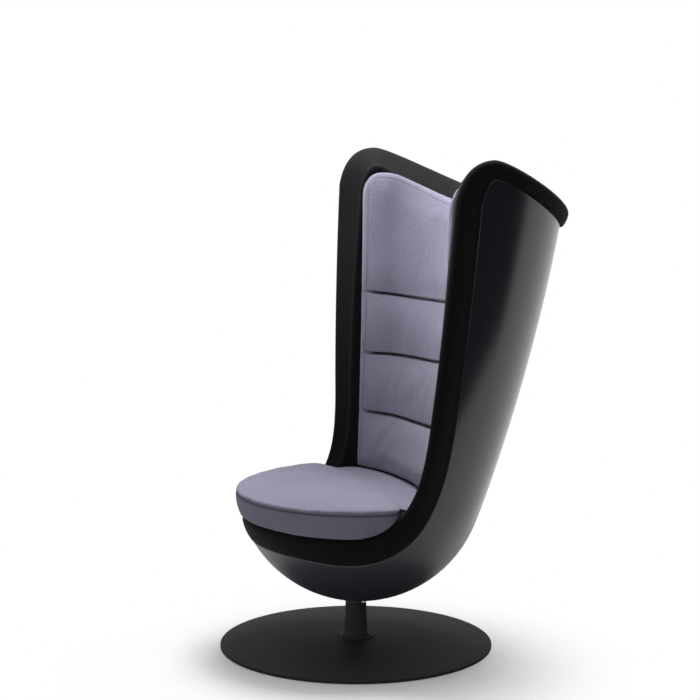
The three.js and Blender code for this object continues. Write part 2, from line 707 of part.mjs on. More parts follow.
// The sitter's space in front of the inner face moved by an offset, open far to the front.
function sittingSpace(offset, bottom) {
  const front = BOWL_SETBACK - BOWL_RADIUS - CUT_OVERRUN * 2;
  const heights = Array.from({ length: FACE_STEPS + 1 }, (_, j) =>
    THREE.MathUtils.lerp(seatEdgeTop, loftTop + CUT_OVERRUN, j / FACE_STEPS),
  );
  const loops = [bottom, ...heights].map((height, j) => {
    const loop = [];
    for (let k = 0; k <= FACE_FACETS; k++) {
      const angle = Math.PI / 2 - (k / FACE_FACETS) * Math.PI;
      loop.push(backPoint(angle, height, j ? offset : offset - SEAT_TAPER));
    }
    const corner = loop[FACE_FACETS].x;
    loop.push(new THREE.Vector3(corner, front, height), new THREE.Vector3(-corner, front, height));
    return loop;
  });
  const middle = (height) => new THREE.Vector3(0, 0, height);
  return solid(loft(loops, middle(bottom), middle(loftTop + CUT_OVERRUN)));
}

// Section of the padded edge: a round nose at the outer face, then a face that slopes down inward.
// Each point is [distance out from the tub's face, distance in from the rim].
function edgeProfile(y, z) {
  const wing = THREE.MathUtils.smoothstep(z, seatBottom, seatEdgeTop + EDGE_HEIGHT);
  const back = THREE.MathUtils.smoothstep(y, rimPeakY, WING_TOP_SETBACK + WING_TOP_RADIUS);
  const proudInFront = THREE.MathUtils.lerp(NOSE_PROUD_FRONT, NOSE_PROUD_WING, wing);
  const proud = THREE.MathUtils.lerp(proudInFront, NOSE_PROUD_BACK, back);
  const slope = THREE.MathUtils.lerp(EDGE_SLOPE_FRONT, EDGE_SLOPE_WING, wing);
  const points = [];
  for (let k = 0; k <= NOSE_STEPS; k++) {
    const angle = (k / NOSE_STEPS) * (Math.PI / 2);
    points.push([proud - NOSE_RADIUS * (1 - Math.cos(angle)), NOSE_RADIUS * (1 - Math.sin(angle))]);
  }
  const inside = proud - EDGE_DEPTH;
  points.push([inside + EDGE_CORNER, slope]);
  points.push([inside, slope + EDGE_CORNER]);
  points.push([inside, EDGE_HEIGHT + EDGE_CORNER]);
  points.push([0, EDGE_HEIGHT + EDGE_CORNER]);
  points.push([0, EDGE_HEIGHT]);
  return points;
}

// The padded edge swept once round the rim.
function makeEdge() {
  const right = [];
  const outline = new THREE.CatmullRomCurve3(rim.map((point) => new THREE.Vector3(0, point.x, point.y)));
  for (const { y, z } of outline.getSpacedPoints(CURVE_SAMPLES)) {
    const { radius, setback } = section(z);
    const across = radius ** 2 - (y - setback) ** 2;
    if (across > 0) right.push(new THREE.Vector3(Math.sqrt(across), y, z));
  }
  const left = right.map(({ x, y, z }) => new THREE.Vector3(-x, y, z)).reverse();
  const path = new THREE.CatmullRomCurve3([...right, ...left], true);
  const places = path.getSpacedPoints(EDGE_RINGS).slice(0, EDGE_RINGS);
  const loops = places.map((place, i) => {
    const before = places[(i + EDGE_RINGS - 1) % EDGE_RINGS];
    const after = places[(i + 1) % EDGE_RINGS];
    const along = after.clone().sub(before).normalize();
    const { setback } = section(place.z);
    const outward = new THREE.Vector3(place.x, place.y - setback, 0);
    outward.addScaledVector(along, -outward.dot(along)).normalize();
    const inward = new THREE.Vector3().crossVectors(along, outward);
    return edgeProfile(place.y, place.z).map(([out, down]) =>
      place.clone().addScaledVector(outward, out).addScaledVector(inward, down),
    );
  });
  const sides = loops[0].length;
  const faces = [];
  for (let i = 0; i < EDGE_RINGS; i++) {
    const here = i * sides;
    const there = ((i + 1) % EDGE_RINGS) * sides;
    for (let k = 0; k < sides; k++) {
      const next = (k + 1) % sides;
      faces.push(here + k, there + next, here + next, here + k, there + k, there + next);
    }
  }
  return solid(indexed(loops.flat(), faces));
}

const innerShellEdge = inset(rim, () => INNER_EDGE_INSET);
const outerShellEdge = inset(rim, bandWidth);

function makeOuterShell() {
  const wall = tubSolid(0).subtract(tubSolid(outerShellInside)).intersect(sideBlock(outerShellEdge));
  const low = shellBottom - CUT_OVERRUN;
  const high = shellBottom + PLATE_LIFT;
  const open = wall.subtract(rod(HUB_RADIUS + SHELL_HOLE_MARGIN, low, high));
  return drilled(open, postPlaces, SHELL_SCREW_RADIUS + FIT_GAP, low, high);
}

function makePost() {
  const bore = SHELL_SCREW_RADIUS + FIT_GAP;
  const post = ring(bore, POST_RADIUS, shellBottom, plateBottom - FIT_GAP, ROUND_FACETS / 2);
  const bowl = tubSolid(outerShellInside - FIT_GAP);
  return ([x, y]) => post.translate([x, y, 0]).intersect(bowl);
}

// A pan-head screw under the bowl, its head shaped to the shell's outer face.
function makeShellScrew([x, y]) {
  const reach = (BOWL_RADIUS + FIT_GAP) ** 2 - x ** 2 - (y - BOWL_SETBACK) ** 2;
  const face = bowlCentre - Math.sqrt(reach);
  const facets = ROUND_FACETS / 2;
  const headBottom = face - SHELL_SCREW_HEAD_HEIGHT;
  const head = rod(SHELL_SCREW_HEAD_RADIUS, headBottom, face + SHELL_SCREW_HEAD_HEIGHT, facets);
  const shank = rod(SHELL_SCREW_RADIUS, face - SHELL_SCREW_HEAD_HEIGHT / 2, plateTop - FIT_GAP, facets);
  return head.translate([x, y, 0]).subtract(tubSolid(FIT_GAP)).add(shank.translate([x, y, 0]));
}

// Structural inner shell with a flat floor over the mounting plate and a ledge for the seat board
const boardRadius = bowlSectionRadius(boardBottom, innerShellInside) - BOARD_MARGIN;
const wellRadius = boardRadius - WELL_INSET;
const boardScrewCircle = bowlSectionRadius(ledgeTop, innerShellInside) - LEDGE_WIDTH / 2;
const boardScrewPlaces = aroundColumn(BOARD_SCREW_COUNT, boardScrewCircle, Math.PI / BOARD_SCREW_COUNT);

function boardScrew(allowance) {
  const headRadius = BOARD_SCREW_HEAD_RADIUS + allowance;
  const shankRadius = BOARD_SCREW_RADIUS + allowance;
  const top = allowance > 0 ? boardTop + allowance : boardTop;
  const neck = boardTop - BOARD_SCREW_HEAD_HEIGHT;
  const tip = boardTop - BOARD_SCREW_LENGTH - allowance;
  const facets = ROUND_FACETS / 2;
  const head = allowance > 0 ? [[headRadius, boardTop], [headRadius, top]] : [[headRadius, top]];
  return turned([[0, tip], [shankRadius, tip], [shankRadius, neck], ...head, [0, top]], facets);
}

const placeBoardScrew = (body, [x, y]) => body.translate([x, y + BOWL_SETBACK, 0]);
const boardScrewHoles = joined(boardScrewPlaces.map((place) => placeBoardScrew(boardScrew(FIT_GAP), place)));

function makeInnerShell() {
  const outside = tubSolid(innerShellOutside, INNER_FACETS).intersect(layer(tubFloorBottom, loftTop));
  const hollow = tubSolid(innerShellInside, INNER_FACETS);
  const inside = hollow.intersect(layer(tubFloorTop, loftTop + CUT_OVERRUN));
  const wall = outside.subtract(inside).intersect(sideBlock(innerShellEdge));
  const ledgeBottom = ledgeTop - LEDGE_THICKNESS;
  const ledgeInner = bowlSectionRadius(ledgeTop, innerShellInside) - LEDGE_WIDTH;
  const ledgeRing = outside
    .intersect(layer(ledgeBottom, ledgeTop))
    .subtract(cylinderAt(BOWL_SETBACK, ledgeInner, ledgeBottom - CUT_OVERRUN, ledgeTop + CUT_OVERRUN));
  const body = wall.add(ledgeRing).subtract(boardScrewHoles);
  const low = tubFloorBottom - CUT_OVERRUN;
  return drilled(body, boltPlaces, BOLT_RADIUS + FIT_GAP, low, tubFloorTop + CUT_OVERRUN);
}

function makeSeatBoard() {
  return cylinderAt(BOWL_SETBACK, boardRadius, boardBottom, boardTop).subtract(boardScrewHoles);
}

// The well inside the front rim, and above the rim the whole sitting space
function linerHollow(offset, allowance) {
  const frontRim = rim[0].y;
  const bottom = boardTop - CUT_OVERRUN / 2;
  const space = sittingSpace(offset, bottom);
  const well = cylinderAt(BOWL_SETBACK, wellRadius + allowance, bottom, frontRim + CUT_OVERRUN);
  return space.intersect(layer(frontRim, loftTop + CUT_OVERRUN * 2).add(well));
}

// Foam and black fabric: the padding inside the tub, the rolled edge and the band outside it.
// The pocket for the inner shell and the room for the outer shell are cut a little into each other.
function makeLiner() {
  const padding = tubSolid(BAND_PROUD).intersect(sideBlock(inset(rim, () => PADDING_INSET))).add(makeEdge());
  const middle = tubSolid((innerShellOutside + innerShellInside) / 2);
  const shellRoom = sideBlock(inset(rim, (i) => bandWidth(i) - FIT_GAP)).subtract(middle);
  const pocket = tubSolid(innerShellOutside + FIT_GAP)
    .subtract(tubSolid(innerShellInside - FABRIC_CLEARANCE, INNER_FACETS))
    .intersect(sideBlock(inset(rim, () => INNER_EDGE_INSET - FIT_GAP)));
  const under = middle.intersect(layer(-CUT_OVERRUN, boardTop + FIT_GAP));
  const cuts = [linerHollow(linerOffset, 0), shellRoom, pocket, under];
  return largest(cuts.reduce((rest, cut) => rest.subtract(cut), padding));
}

function makeSeatFoam() {
  const top = seatBottom - FIT_GAP - STRIP_THICKNESS - FIT_GAP;
  const well = cylinderAt(BOWL_SETBACK, wellRadius - FABRIC_CLEARANCE, boardTop + FIT_GAP, top);
  return well.intersect(sittingSpace(linerOffset - FABRIC_CLEARANCE, boardTop - CUT_OVERRUN / 2));
}

function makeSeatStrip(side) {
  const bottom = seatBottom - FIT_GAP - STRIP_THICKNESS;
  const geometry = new THREE.BoxGeometry(STRIP_WIDTH, STRIP_SPACING, STRIP_THICKNESS);
  return solid(geometry.translate((side * STRIP_SPACING) / 2, 0, bottom + STRIP_THICKNESS / 2));
}

// Plan outline of the seat cushion: a round lobe in front, a step in at each wing, then the rear.
function seatOutline() {
  const rear = backEllipse(seatEdgeTop, linerOffset - FABRIC_CLEARANCE);
  const points = [];
  const lobeEnd = Math.asin(SEAT_LOBE_END / SEAT_LOBE_RADIUS);
  const lobeFacets = SEAT_OUTLINE_FACETS / 2;
  for (let k = 0; k <= lobeFacets; k++) {
    const angle = -Math.PI + lobeEnd + (k / lobeFacets) * (Math.PI - lobeEnd * 2);
    points.push([SEAT_LOBE_RADIUS * Math.cos(angle), BOWL_SETBACK + SEAT_LOBE_RADIUS * Math.sin(angle)]);
  }
  const rearFacets = SEAT_OUTLINE_FACETS - lobeFacets - 3;
  points.push([rear.halfWidth, BOWL_SETBACK - SEAT_LOBE_END / 2]);
  for (let k = 0; k <= rearFacets; k++) {
    const angle = (k / rearFacets) * Math.PI;
    points.push([rear.halfWidth * Math.cos(angle), rear.centre + rear.depth * Math.sin(angle)]);
  }
  points.push([-rear.halfWidth, BOWL_SETBACK - SEAT_LOBE_END / 2]);
  return points;
}

// Rows of the cushion from the middle of its underside to the top.
// Each has a share of the outline, a share of the height and a share of the crown.
const SEAT_ROW_SHARES = [
  [0.9, 0.0, 0],
  [0.935, 0.06, 0],
  [0.965, 0.45, 0],
  [0.986, 0.76, 0],
  [0.983, 0.82, 0],
  [0.998, 0.88, 0],
  [0.998, 0.96, 0],
  [0.98, 1.0, 0.05],
  [0.88, 1.0, 0.45],
  [0.62, 1.0, 0.82],
];

function makeSeatCushion() {
  const outline = seatOutline();
  const height = seatEdgeTop - seatBottom;
  const loops = SEAT_ROW_SHARES.map(([share, heightShare, crownShare]) =>
    outline.map(
      ([x, y]) =>
        new THREE.Vector3(
          x * share,
          SEAT_CENTRE_SETBACK + (y - SEAT_CENTRE_SETBACK) * share,
          seatBottom + height * heightShare + SEAT_CROWN * crownShare,
        ),
    ),
  );
  const middle = (z) => new THREE.Vector3(0, SEAT_CENTRE_SETBACK, z);
  const cushion = solid(loft(loops, middle(seatBottom), middle(seatEdgeTop + SEAT_CROWN)));
  const hollow = linerHollow(linerOffset - FABRIC_CLEARANCE, -FABRIC_CLEARANCE);
  const rimSpace = sideBlock(inset(rim, () => -SEAT_CLEARANCE)).subtract(hollow);
  return cushion.subtract(rimSpace);
}

// Height of the back cushion's top edge. It follows the rim, lower by a setback that grows
// to the middle of the back, and its corners are round.
function rimHeightAt(y) {
  const middle = (wingTop + bowlCentre) / 2;
  const topPart = rim.filter((point, i) => i && point.x > rim[i - 1].x && point.y > middle);
  const after = topPart.findIndex((point) => point.x > y);
  if (after < 0) return topPart[topPart.length - 1].y;
  if (after === 0) return topPart[0].y;
  const [from, to] = [topPart[after - 1], topPart[after]];
  return THREE.MathUtils.mapLinear(y, from.x, to.x, from.y, to.y);
}

function backTop(angle) {
  const share = Math.abs(angle) / BACK_EDGE_ANGLE;
  const drop = BACK_TOP_SETBACK + BACK_TOP_DIP * (1 - share ** BACK_TOP_DIP_POWER);
  let height = wingTop;
  for (let i = 0; i < TOP_EDGE_ROUNDS; i++) {
    const { y } = backPoint(angle, height, 0);
    height = (height + rimHeightAt(y) - drop) / 2;
  }
  const past = (share - 1 + BACK_CORNER_SHARE) / BACK_CORNER_SHARE;
  const bend = THREE.MathUtils.clamp(past, 0, 1);
  return height - BACK_CORNER_DROP * (1 - Math.sqrt(1 - bend ** 2));
}

const backBottom = seatEdgeTop + SEAT_CROWN + FIT_GAP;
const backSpan = wingTop - BACK_TOP_SETBACK - backBottom;

// Rows of the back cushion, bunched at the channels between its panels.
function panelRows(top) {
  const seams = BACK_CHANNEL_SHARES.map((share) => backBottom + share * backSpan);
  const ends = [backBottom, ...seams, top];
  const rows = [];
  for (let p = 0; p + 1 < ends.length; p++) {
    for (let k = 0; k < PANEL_ROWS; k++) {
      const share = (1 - Math.cos((k / PANEL_ROWS) * Math.PI)) / 2;
      const height = THREE.MathUtils.lerp(ends[p], ends[p + 1], share);
      rows.push({ height, puff: Math.sqrt(Math.sin(share * Math.PI)) });
    }
  }
  rows.push({ height: top, puff: 0 });
  return rows;
}

// Four sewn panels over one curved pad, each puffed toward the sitter.
// The columns stand closer together near the rounded sides.
function makeBackCushion() {
  const front = [];
  const back = [];
  for (let c = 0; c <= BACK_COLUMNS; c++) {
    const across = Math.sin(((c / BACK_COLUMNS) * 2 - 1) * (Math.PI / 2));
    const angle = across * BACK_EDGE_ANGLE;
    const fade = 1 - Math.abs(across) ** 6;
    for (const { height, puff } of panelRows(backTop(angle))) {
      front.push(backPoint(angle, height, -BACK_PANEL_PUFF * puff * fade));
      back.push(backPoint(angle, height, BACK_CUSHION_THICKNESS));
    }
  }
  const rows = front.length / (BACK_COLUMNS + 1);
  const faces = [];
  const quad = (a, b, c, d) => faces.push(a, b, c, a, c, d);
  const behind = front.length;
  for (let c = 0; c < BACK_COLUMNS; c++) {
    for (let r = 0; r + 1 < rows; r++) {
      const i = c * rows + r;
      quad(i, i + rows, i + rows + 1, i + 1);
      quad(behind + i, behind + i + 1, behind + i + rows + 1, behind + i + rows);
    }
    const low = c * rows;
    const high = low + rows - 1;
    quad(low, behind + low, behind + low + rows, low + rows);
    quad(high, high + rows, behind + high + rows, behind + high);
  }
  const last = BACK_COLUMNS * rows;
  for (let r = 0; r + 1 < rows; r++) {
    quad(r, r + 1, behind + r + 1, behind + r);
    quad(last + r, behind + last + r, behind + last + r + 1, last + r + 1);
  }
  return solid(indexed([...front, ...back], faces));
}

// Upright hook-and-loop strip between the back cushion and the liner
function makeBackStrip(side) {
  const near = BACK_CUSHION_THICKNESS + BACK_CLEARANCE;
  const bottom = boardTop - CUT_OVERRUN / 2;
  const nearSpace = sittingSpace(near, bottom - CUT_OVERRUN);
  const sheet = sittingSpace(near + STRIP_THICKNESS, bottom).subtract(nearSpace);
  const [low, high] = STRIP_HEIGHT_SHARES.map((share) => backBottom + share * backSpan);
  const box = new THREE.BoxGeometry(STRIP_WIDTH, BACK_MIDDLE_HIGH * 2, high - low);
  box.translate((side * STRIP_SPACING) / 2, BACK_MIDDLE_HIGH, (high + low) / 2);
  return sheet.intersect(solid(box));
}

// Base and column, which stand still
add(base, "floor_pad", makeFloorPad(), FELT);
add(base, "ballast_plate", makeBallastPlate(), RAW_STEEL);
add(base, "base_cover", makeBaseCover(), POWDER_BLACK);
add(base, "hub_boss", makeHubBoss(), RAW_STEEL);
add(base, "column", makeColumn(), POWDER_BLACK);
baseScrewPlaces.forEach(([x, y], i) => {
  add(base, `base_screw_${i + 1}`, baseScrew(0).translate([x, y, 0]), ZINC_STEEL);
});
add(base, "upper_bush", makeUpperBush(), NYLON);
add(base, "lower_bush", ring(bushInner, bushOuter, lowerBushBottom, lowerBushTop), NYLON);
add(base, "thrust_washer", ring(bushInner, flangeRadius, flangeTop + FIT_GAP, thrustTop), ZINC_STEEL);
add(base, "collar", makeCollar(), BLACK_PLASTIC);

// Everything that swivels
add(tub, "spindle", makeSpindle(), RAW_STEEL);
const clipWasherTop = clipWasherBottom + CLIP_WASHER_THICKNESS;
add(tub, "clip_washer", ring(bushInner, bushOuter - FIT_GAP, clipWasherBottom, clipWasherTop), ZINC_STEEL);
add(tub, "retaining_clip", makeClip(), RAW_STEEL);
add(tub, "seat_plate", makeSeatPlate(), RAW_STEEL);
boltPlaces.forEach(([x, y], i) => {
  add(tub, `plate_bolt_${i + 1}`, makePlateBolt().translate([x, y, 0]), ZINC_STEEL);
  add(tub, `plate_washer_${i + 1}`, makePlateWasher().translate([x, y, 0]), ZINC_STEEL);
});
const postAt = makePost();
postPlaces.forEach((place, i) => {
  add(tub, `shell_post_${i + 1}`, postAt(place), BLACK_PLASTIC);
  add(tub, `shell_screw_${i + 1}`, makeShellScrew(place), ZINC_STEEL);
});
add(tub, "outer_shell", makeOuterShell(), SATIN_BLACK);
add(tub, "inner_shell", makeInnerShell(), BLACK_PLASTIC);
add(tub, "seat_board", makeSeatBoard(), PLYWOOD);
boardScrewPlaces.forEach((place, i) => {
  add(tub, `board_screw_${i + 1}`, placeBoardScrew(boardScrew(0), place), ZINC_STEEL);
});
add(tub, "seat_base_foam", makeSeatFoam(), FOAM);
add(tub, "liner", makeLiner(), BLACK_FABRIC);
[-1, 1].forEach((side, i) => {
  add(tub, `seat_strip_${i + 1}`, makeSeatStrip(side), FELT);
  add(tub, `back_strip_${i + 1}`, makeBackStrip(side), FELT);
});
add(tub, "seat_cushion", makeSeatCushion(), LAVENDER_FABRIC);
add(tub, "back_cushion", makeBackCushion(), LAVENDER_FABRIC);

export default chair;
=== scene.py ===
import math

import bpy
import numpy as np
from mathutils import Matrix, Vector
from mathutils.bvhtree import BVHTree


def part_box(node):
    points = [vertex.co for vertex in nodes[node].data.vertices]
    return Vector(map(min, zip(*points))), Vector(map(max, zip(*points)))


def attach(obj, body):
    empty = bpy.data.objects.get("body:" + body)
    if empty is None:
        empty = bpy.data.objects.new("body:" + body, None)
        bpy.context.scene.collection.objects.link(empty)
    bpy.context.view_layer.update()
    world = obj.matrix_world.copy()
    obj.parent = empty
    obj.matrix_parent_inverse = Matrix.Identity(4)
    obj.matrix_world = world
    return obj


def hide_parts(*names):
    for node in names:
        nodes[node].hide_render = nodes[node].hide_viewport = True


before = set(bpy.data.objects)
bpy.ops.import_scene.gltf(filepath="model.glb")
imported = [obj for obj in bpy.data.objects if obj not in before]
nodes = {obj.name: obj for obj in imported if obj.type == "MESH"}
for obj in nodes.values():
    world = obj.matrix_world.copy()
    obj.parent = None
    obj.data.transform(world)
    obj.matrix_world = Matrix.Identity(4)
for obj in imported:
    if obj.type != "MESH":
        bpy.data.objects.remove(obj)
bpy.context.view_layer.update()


# Camera: a long lens at sitting height, on the sitter's left and a little in front of the chair.
def placed(name, data):
    """A new object in the scene."""
    thing = bpy.data.objects.new(name, data)
    bpy.context.scene.collection.objects.link(thing)
    return thing


eye = Vector((4.78921, -1.67966, 1.46889))
heading = math.radians(70.84504)
dip = math.radians(7.86351)
ahead = Vector((-math.sin(heading), math.cos(heading), 0))
across = Vector((math.cos(heading), math.sin(heading), 0))
look = ahead * math.cos(dip) - Vector((0, 0, 1)) * math.sin(dip)
axes = Matrix((across, across.cross(look), -look)).transposed().to_4x4()
lens = bpy.data.cameras.new("camera")
lens.lens = 103.868
lens.sensor_width = 36
camera = placed("camera", lens)
camera.matrix_world = Matrix.Translation(eye) @ axes
bpy.context.scene.camera = camera
bpy.context.scene.view_settings.view_transform = "Standard"


# Studio: a pale floor that keeps the chair's shadow and fades into a white surround. A broad lamp
# hangs overhead, a wide one lights the floor, a narrow one the back cushion and a low one the
# bowl. A dark card stands where the near wing would mirror the light.
class Wire:
    """A shader or geometry socket. Sums, differences and products of wires add Math nodes."""

    def __init__(self, tree, socket=None):
        self.tree = tree
        self.socket = socket

    def node(self, kind, sockets=None, settings=None, output=0):
        made = self.tree.nodes.new(kind)
        for name, value in (settings or {}).items():
            setattr(made, name, value)
        for name, value in (sockets or {}).items():
            if isinstance(value, Wire):
                self.tree.links.new(value.socket, made.inputs[name])
            else:
                made.inputs[name].default_value = value
        return Wire(self.tree, made.outputs[output] if len(made.outputs) else None)

    def split(self):
        """The three numbers of a vector."""
        made = self.tree.nodes.new("ShaderNodeSeparateXYZ")
        self.tree.links.new(self.socket, made.inputs[0])
        return [Wire(self.tree, socket) for socket in made.outputs]

    def math(self, operation, first, second=0.0):
        return self.node("ShaderNodeMath", {0: first, 1: second}, {"operation": operation})

    def __add__(self, other):
        return self.math("ADD", self, other)

    def __sub__(self, other):
        return self.math("SUBTRACT", self, other)

    def __rsub__(self, other):
        return self.math("SUBTRACT", other, self)

    def __mul__(self, other):
        return self.math("MULTIPLY", self, other)

    __radd__ = __add__
    __rmul__ = __mul__

    def sine(self):
        return self.math("SINE", self)

    def between(self, low, high):
        """0 up to low, 1 from high on, with an eased rise between them."""
        ends = {"Value": self, "From Min": low, "From Max": high}
        return self.node("ShaderNodeMapRange", ends, {"interpolation_type": "SMOOTHSTEP"})

    def tint(self, dark, light):
        return self.node("ShaderNodeMix", {0: self, 6: dark, 7: light}, {"data_type": "RGBA"}, 2)


def linear(red, green, blue):
    """A colour written as 0 to 255 on a screen, as the shader's own numbers."""
    shares = [channel / 255 for channel in (red, green, blue)]
    return *(s / 12.92 if s <= 0.04045 else ((s + 0.055) / 1.055) ** 2.4 for s in shares), 1.0


def cleared(thing):
    """A wire into the emptied node tree of a material or a world."""
    thing.use_nodes = True
    thing.node_tree.nodes.clear()
    return Wire(thing.node_tree)


def coat(name, base, gloss, bump=None, depth=0.001, strength=1.0, metallic=0.0, shader=None):
    """A finish: base, gloss and bump are functions of a wire that reads Object coordinates."""
    material = bpy.data.materials.new(name)
    start = cleared(material)
    place = start.node("ShaderNodeTexCoord", output=3)
    sockets = {"Base Color": base(place), "Roughness": gloss(place), "Metallic": metallic}
    if bump:
        relief = {"Height": bump(place), "Distance": depth, "Strength": strength}
        sockets["Normal"] = start.node("ShaderNodeBump", relief)
    sockets.update(shader or {})
    surface = start.node("ShaderNodeBsdfPrincipled", sockets)
    start.node("ShaderNodeOutputMaterial", {"Surface": surface})
    return material


def speckle(place, scale, detail=2.0, roughness=0.5):
    sockets = {"Vector": place, "Scale": scale, "Detail": detail, "Roughness": roughness}
    return place.node("ShaderNodeTexNoise", sockets)


def grained(name, dark, light, tone, gloss, relief=None, depth=0.001, metallic=0.0):
    """A speckled finish: tone and relief are scale and detail, gloss adds a swing and a least."""
    scale, detail, swing, least = gloss
    return coat(
        name,
        lambda place: speckle(place, *tone).tint(linear(*dark), linear(*light)),
        lambda place: speckle(place, scale, detail) * swing + least,
        relief and (lambda place: speckle(place, *relief)),
        depth,
        metallic=metallic,
    )


def built(name, points, faces, edges=()):
    """A new object made of points, faces and edges."""
    mesh = bpy.data.meshes.new(name)
    mesh.from_pydata(np.asarray(points).tolist(), edges, faces)
    return placed(name, mesh)


def dress(piece, finish):
    """Gives a piece or a node one finish all over."""
    piece.data.materials.clear()
    piece.data.materials.append(finish)


floor_radius = 3.0
floor_angles = np.linspace(0, 2 * math.pi, 96, endpoint=False)
floor_points = [(floor_radius * math.cos(t), floor_radius * math.sin(t), 0) for t in floor_angles]
floor = built("floor", floor_points, [list(range(len(floor_points)))])
floor_finish = bpy.data.materials.new("pale_floor")
studio = cleared(floor_finish)
spot = studio.node("ShaderNodeTexCoord", output=3)
shadow = {0: spot, 1: (0.12, -0.08, 0)}
distance = studio.node("ShaderNodeVectorMath", shadow, {"operation": "DISTANCE"}, 1)
pale = speckle(spot, 6.0).tint((0.86, 0.86, 0.865, 1), (0.9, 0.9, 0.9, 1))
matt = studio.node("ShaderNodeBsdfDiffuse", {"Color": pale})
clear = studio.node("ShaderNodeBsdfTransparent")
solid_within, gone_beyond = 0.20, 0.76
fade = distance.between(solid_within, gone_beyond)
floor_blend = studio.node("ShaderNodeMixShader", {0: fade, 1: matt, 2: clear})
studio.node("ShaderNodeOutputMaterial", {"Surface": floor_blend})
dress(floor, floor_finish)

flag_lying = [(1.0, -0.7, 0.004), (3.2, -0.5, 0.004), (3.2, 3.4, 0.004), (1.0, 3.4, 0.004)]
flag_standing = [(3.2, -0.5, 1.9), (3.2, 3.4, 1.9)]
flag_slanted = [(1.4, 5.4, 1.9), (1.4, 5.4, -1.2), (3.2, 3.4, -1.2)]
flag_faces = [(0, 1, 2, 3), (1, 4, 5, 2), (8, 5, 6, 7)]
flag = built("dark_card", flag_lying + flag_standing + flag_slanted, flag_faces)
dress(flag, grained("dark_card", (14, 14, 14), (20, 20, 20), (3.0,), (3.0, 2.0, 0.1, 0.8)))
flag.visible_camera = False

world = bpy.data.worlds.new("surround")
bpy.context.scene.world = world
air = cleared(world)
seen, mirrored, passed = (air.node("ShaderNodeLightPath", output=k) for k in (0, 3, 6))
white = air.node("ShaderNodeBackground", {"Color": (1, 1, 1, 1), "Strength": 1.0})
ambient = air.node("ShaderNodeBackground", {"Color": (0.97, 0.98, 1, 1), "Strength": 0.25})
shown = (seen + mirrored + passed).between(0.4, 0.6)
surround = air.node("ShaderNodeMixShader", {0: shown, 1: ambient, 2: white})
air.node("ShaderNodeOutputWorld", {"Surface": surround})


def softbox(name, place, aim, width, height, power, spread=180):
    lamp = bpy.data.lights.new(name, "AREA")
    lamp.shape = "RECTANGLE"
    lamp.size = width
    lamp.size_y = height
    lamp.energy = power
    lamp.spread = math.radians(spread)
    box = placed(name, lamp)
    box.location = place
    box.rotation_euler = (Vector(aim) - Vector(place)).to_track_quat("-Z", "Y").to_euler()


softbox("key_lamp", (-0.7, 0.6, 3.0), (0.0, 0.0, 0.5), 1.0, 1.0, 66)
softbox("back_lamp", (-0.9, -2.3, 2.1), (0.0, 0.3, 1.2), 0.5, 0.5, 3.0, 24)
softbox("floor_lamp", (0.0, 0.2, 4.6), (0.0, 0.2, 0.0), 3.6, 3.6, 90)
softbox("low_lamp", (3.2, -3.0, 0.45), (0.0, 0.0, 0.3), 1.6, 0.8, 18)


# Base: a felt pad, a flat ballast plate and a spun steel cover, powder coated charcoal.
# The felt and the cover are turned from their profiles; the felt keeps the plate off the floor.
def geometry_tree(name, **inputs):
    """A geometry tree that takes geometry and these inputs: the tree and a wire from each."""
    tree = bpy.data.node_groups.new(name, "GeometryNodeTree")
    inputs = {"Geometry": "Geometry", **inputs}
    for label, kind in inputs.items():
        tree.interface.new_socket(label, in_out="INPUT", socket_type="NodeSocket" + kind)
    tree.interface.new_socket("Geometry", in_out="OUTPUT", socket_type="NodeSocketGeometry")
    entry = tree.nodes.new("NodeGroupInput")
    return tree, *(Wire(tree, entry.outputs[k]) for k in range(len(inputs)))


def finished(shape, finish):
    """Ends a geometry tree: smooth shading, one finish and the output."""
    smooth = shape.node("GeometryNodeSetShadeSmooth", {"Geometry": shape})
    coated = shape.node("GeometryNodeSetMaterial", {"Geometry": smooth, "Material": finish})
    shape.node("NodeGroupOutput", {"Geometry": coated})


def turning_tree():
    """Turns the profile that the object's points draw, radius in X and height in Z, about Z."""
    tree, profile, facets, count, finish = geometry_tree(
        "turned", Facets="Int", Points="Int", Finish="Material"
    )
    size = {"Size X": 1.0, "Size Y": 1.0, "Vertices X": count, "Vertices Y": facets + 1}
    grid = profile.node("GeometryNodeMeshGrid", size)
    here = profile.node("GeometryNodeInputPosition")
    x, y, _ = here.split()
    row = (x + 0.5) * (count - 1)
    turn = (y + 0.5) * (2 * math.pi)
    whole = row.node("FunctionNodeFloatToInt", {0: row}, {"rounding_mode": "ROUND"})
    source = {"Geometry": profile, "Value": here, "Index": whole}
    sample = row.node("GeometryNodeSampleIndex", source, {"data_type": "FLOAT_VECTOR"})
    rotated = row.node(
        "ShaderNodeVectorRotate", {"Vector": sample, "Angle": turn}, {"rotation_type": "Z_AXIS"}
    )
    moved = row.node("GeometryNodeSetPosition", {"Geometry": grid, "Position": rotated})
    closed = row.node("GeometryNodeMergeByDistance", {"Geometry": moved, "Distance": 0.000002})
    finished(closed, finish)
    return tree


def settle(piece, modifier):
    """Applies a modifier by keeping the evaluated mesh, shaded smooth."""
    bpy.context.view_layer.update()
    shape = piece.evaluated_get(bpy.context.evaluated_depsgraph_get())
    mesh = bpy.data.meshes.new_from_object(shape)
    piece.modifiers.remove(modifier)
    piece.data = mesh
    mesh.polygons.foreach_set("use_smooth", [True] * len(mesh.polygons))


def grown(name, points, links, tree, inputs, body):
    """Runs a geometry tree on points and the links between them, and keeps the resulting mesh."""
    piece = built(name + "_line", points, [], links)
    piece.name = name
    modifier = piece.modifiers.new("grown", "NODES")
    modifier.node_group = tree
    for item in tree.interface.items_tree:
        if item.in_out == "INPUT" and item.name in inputs:
            modifier[item.identifier] = inputs[item.name]
    settle(piece, modifier)
    piece.data.name = name
    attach(piece, body)
    return piece


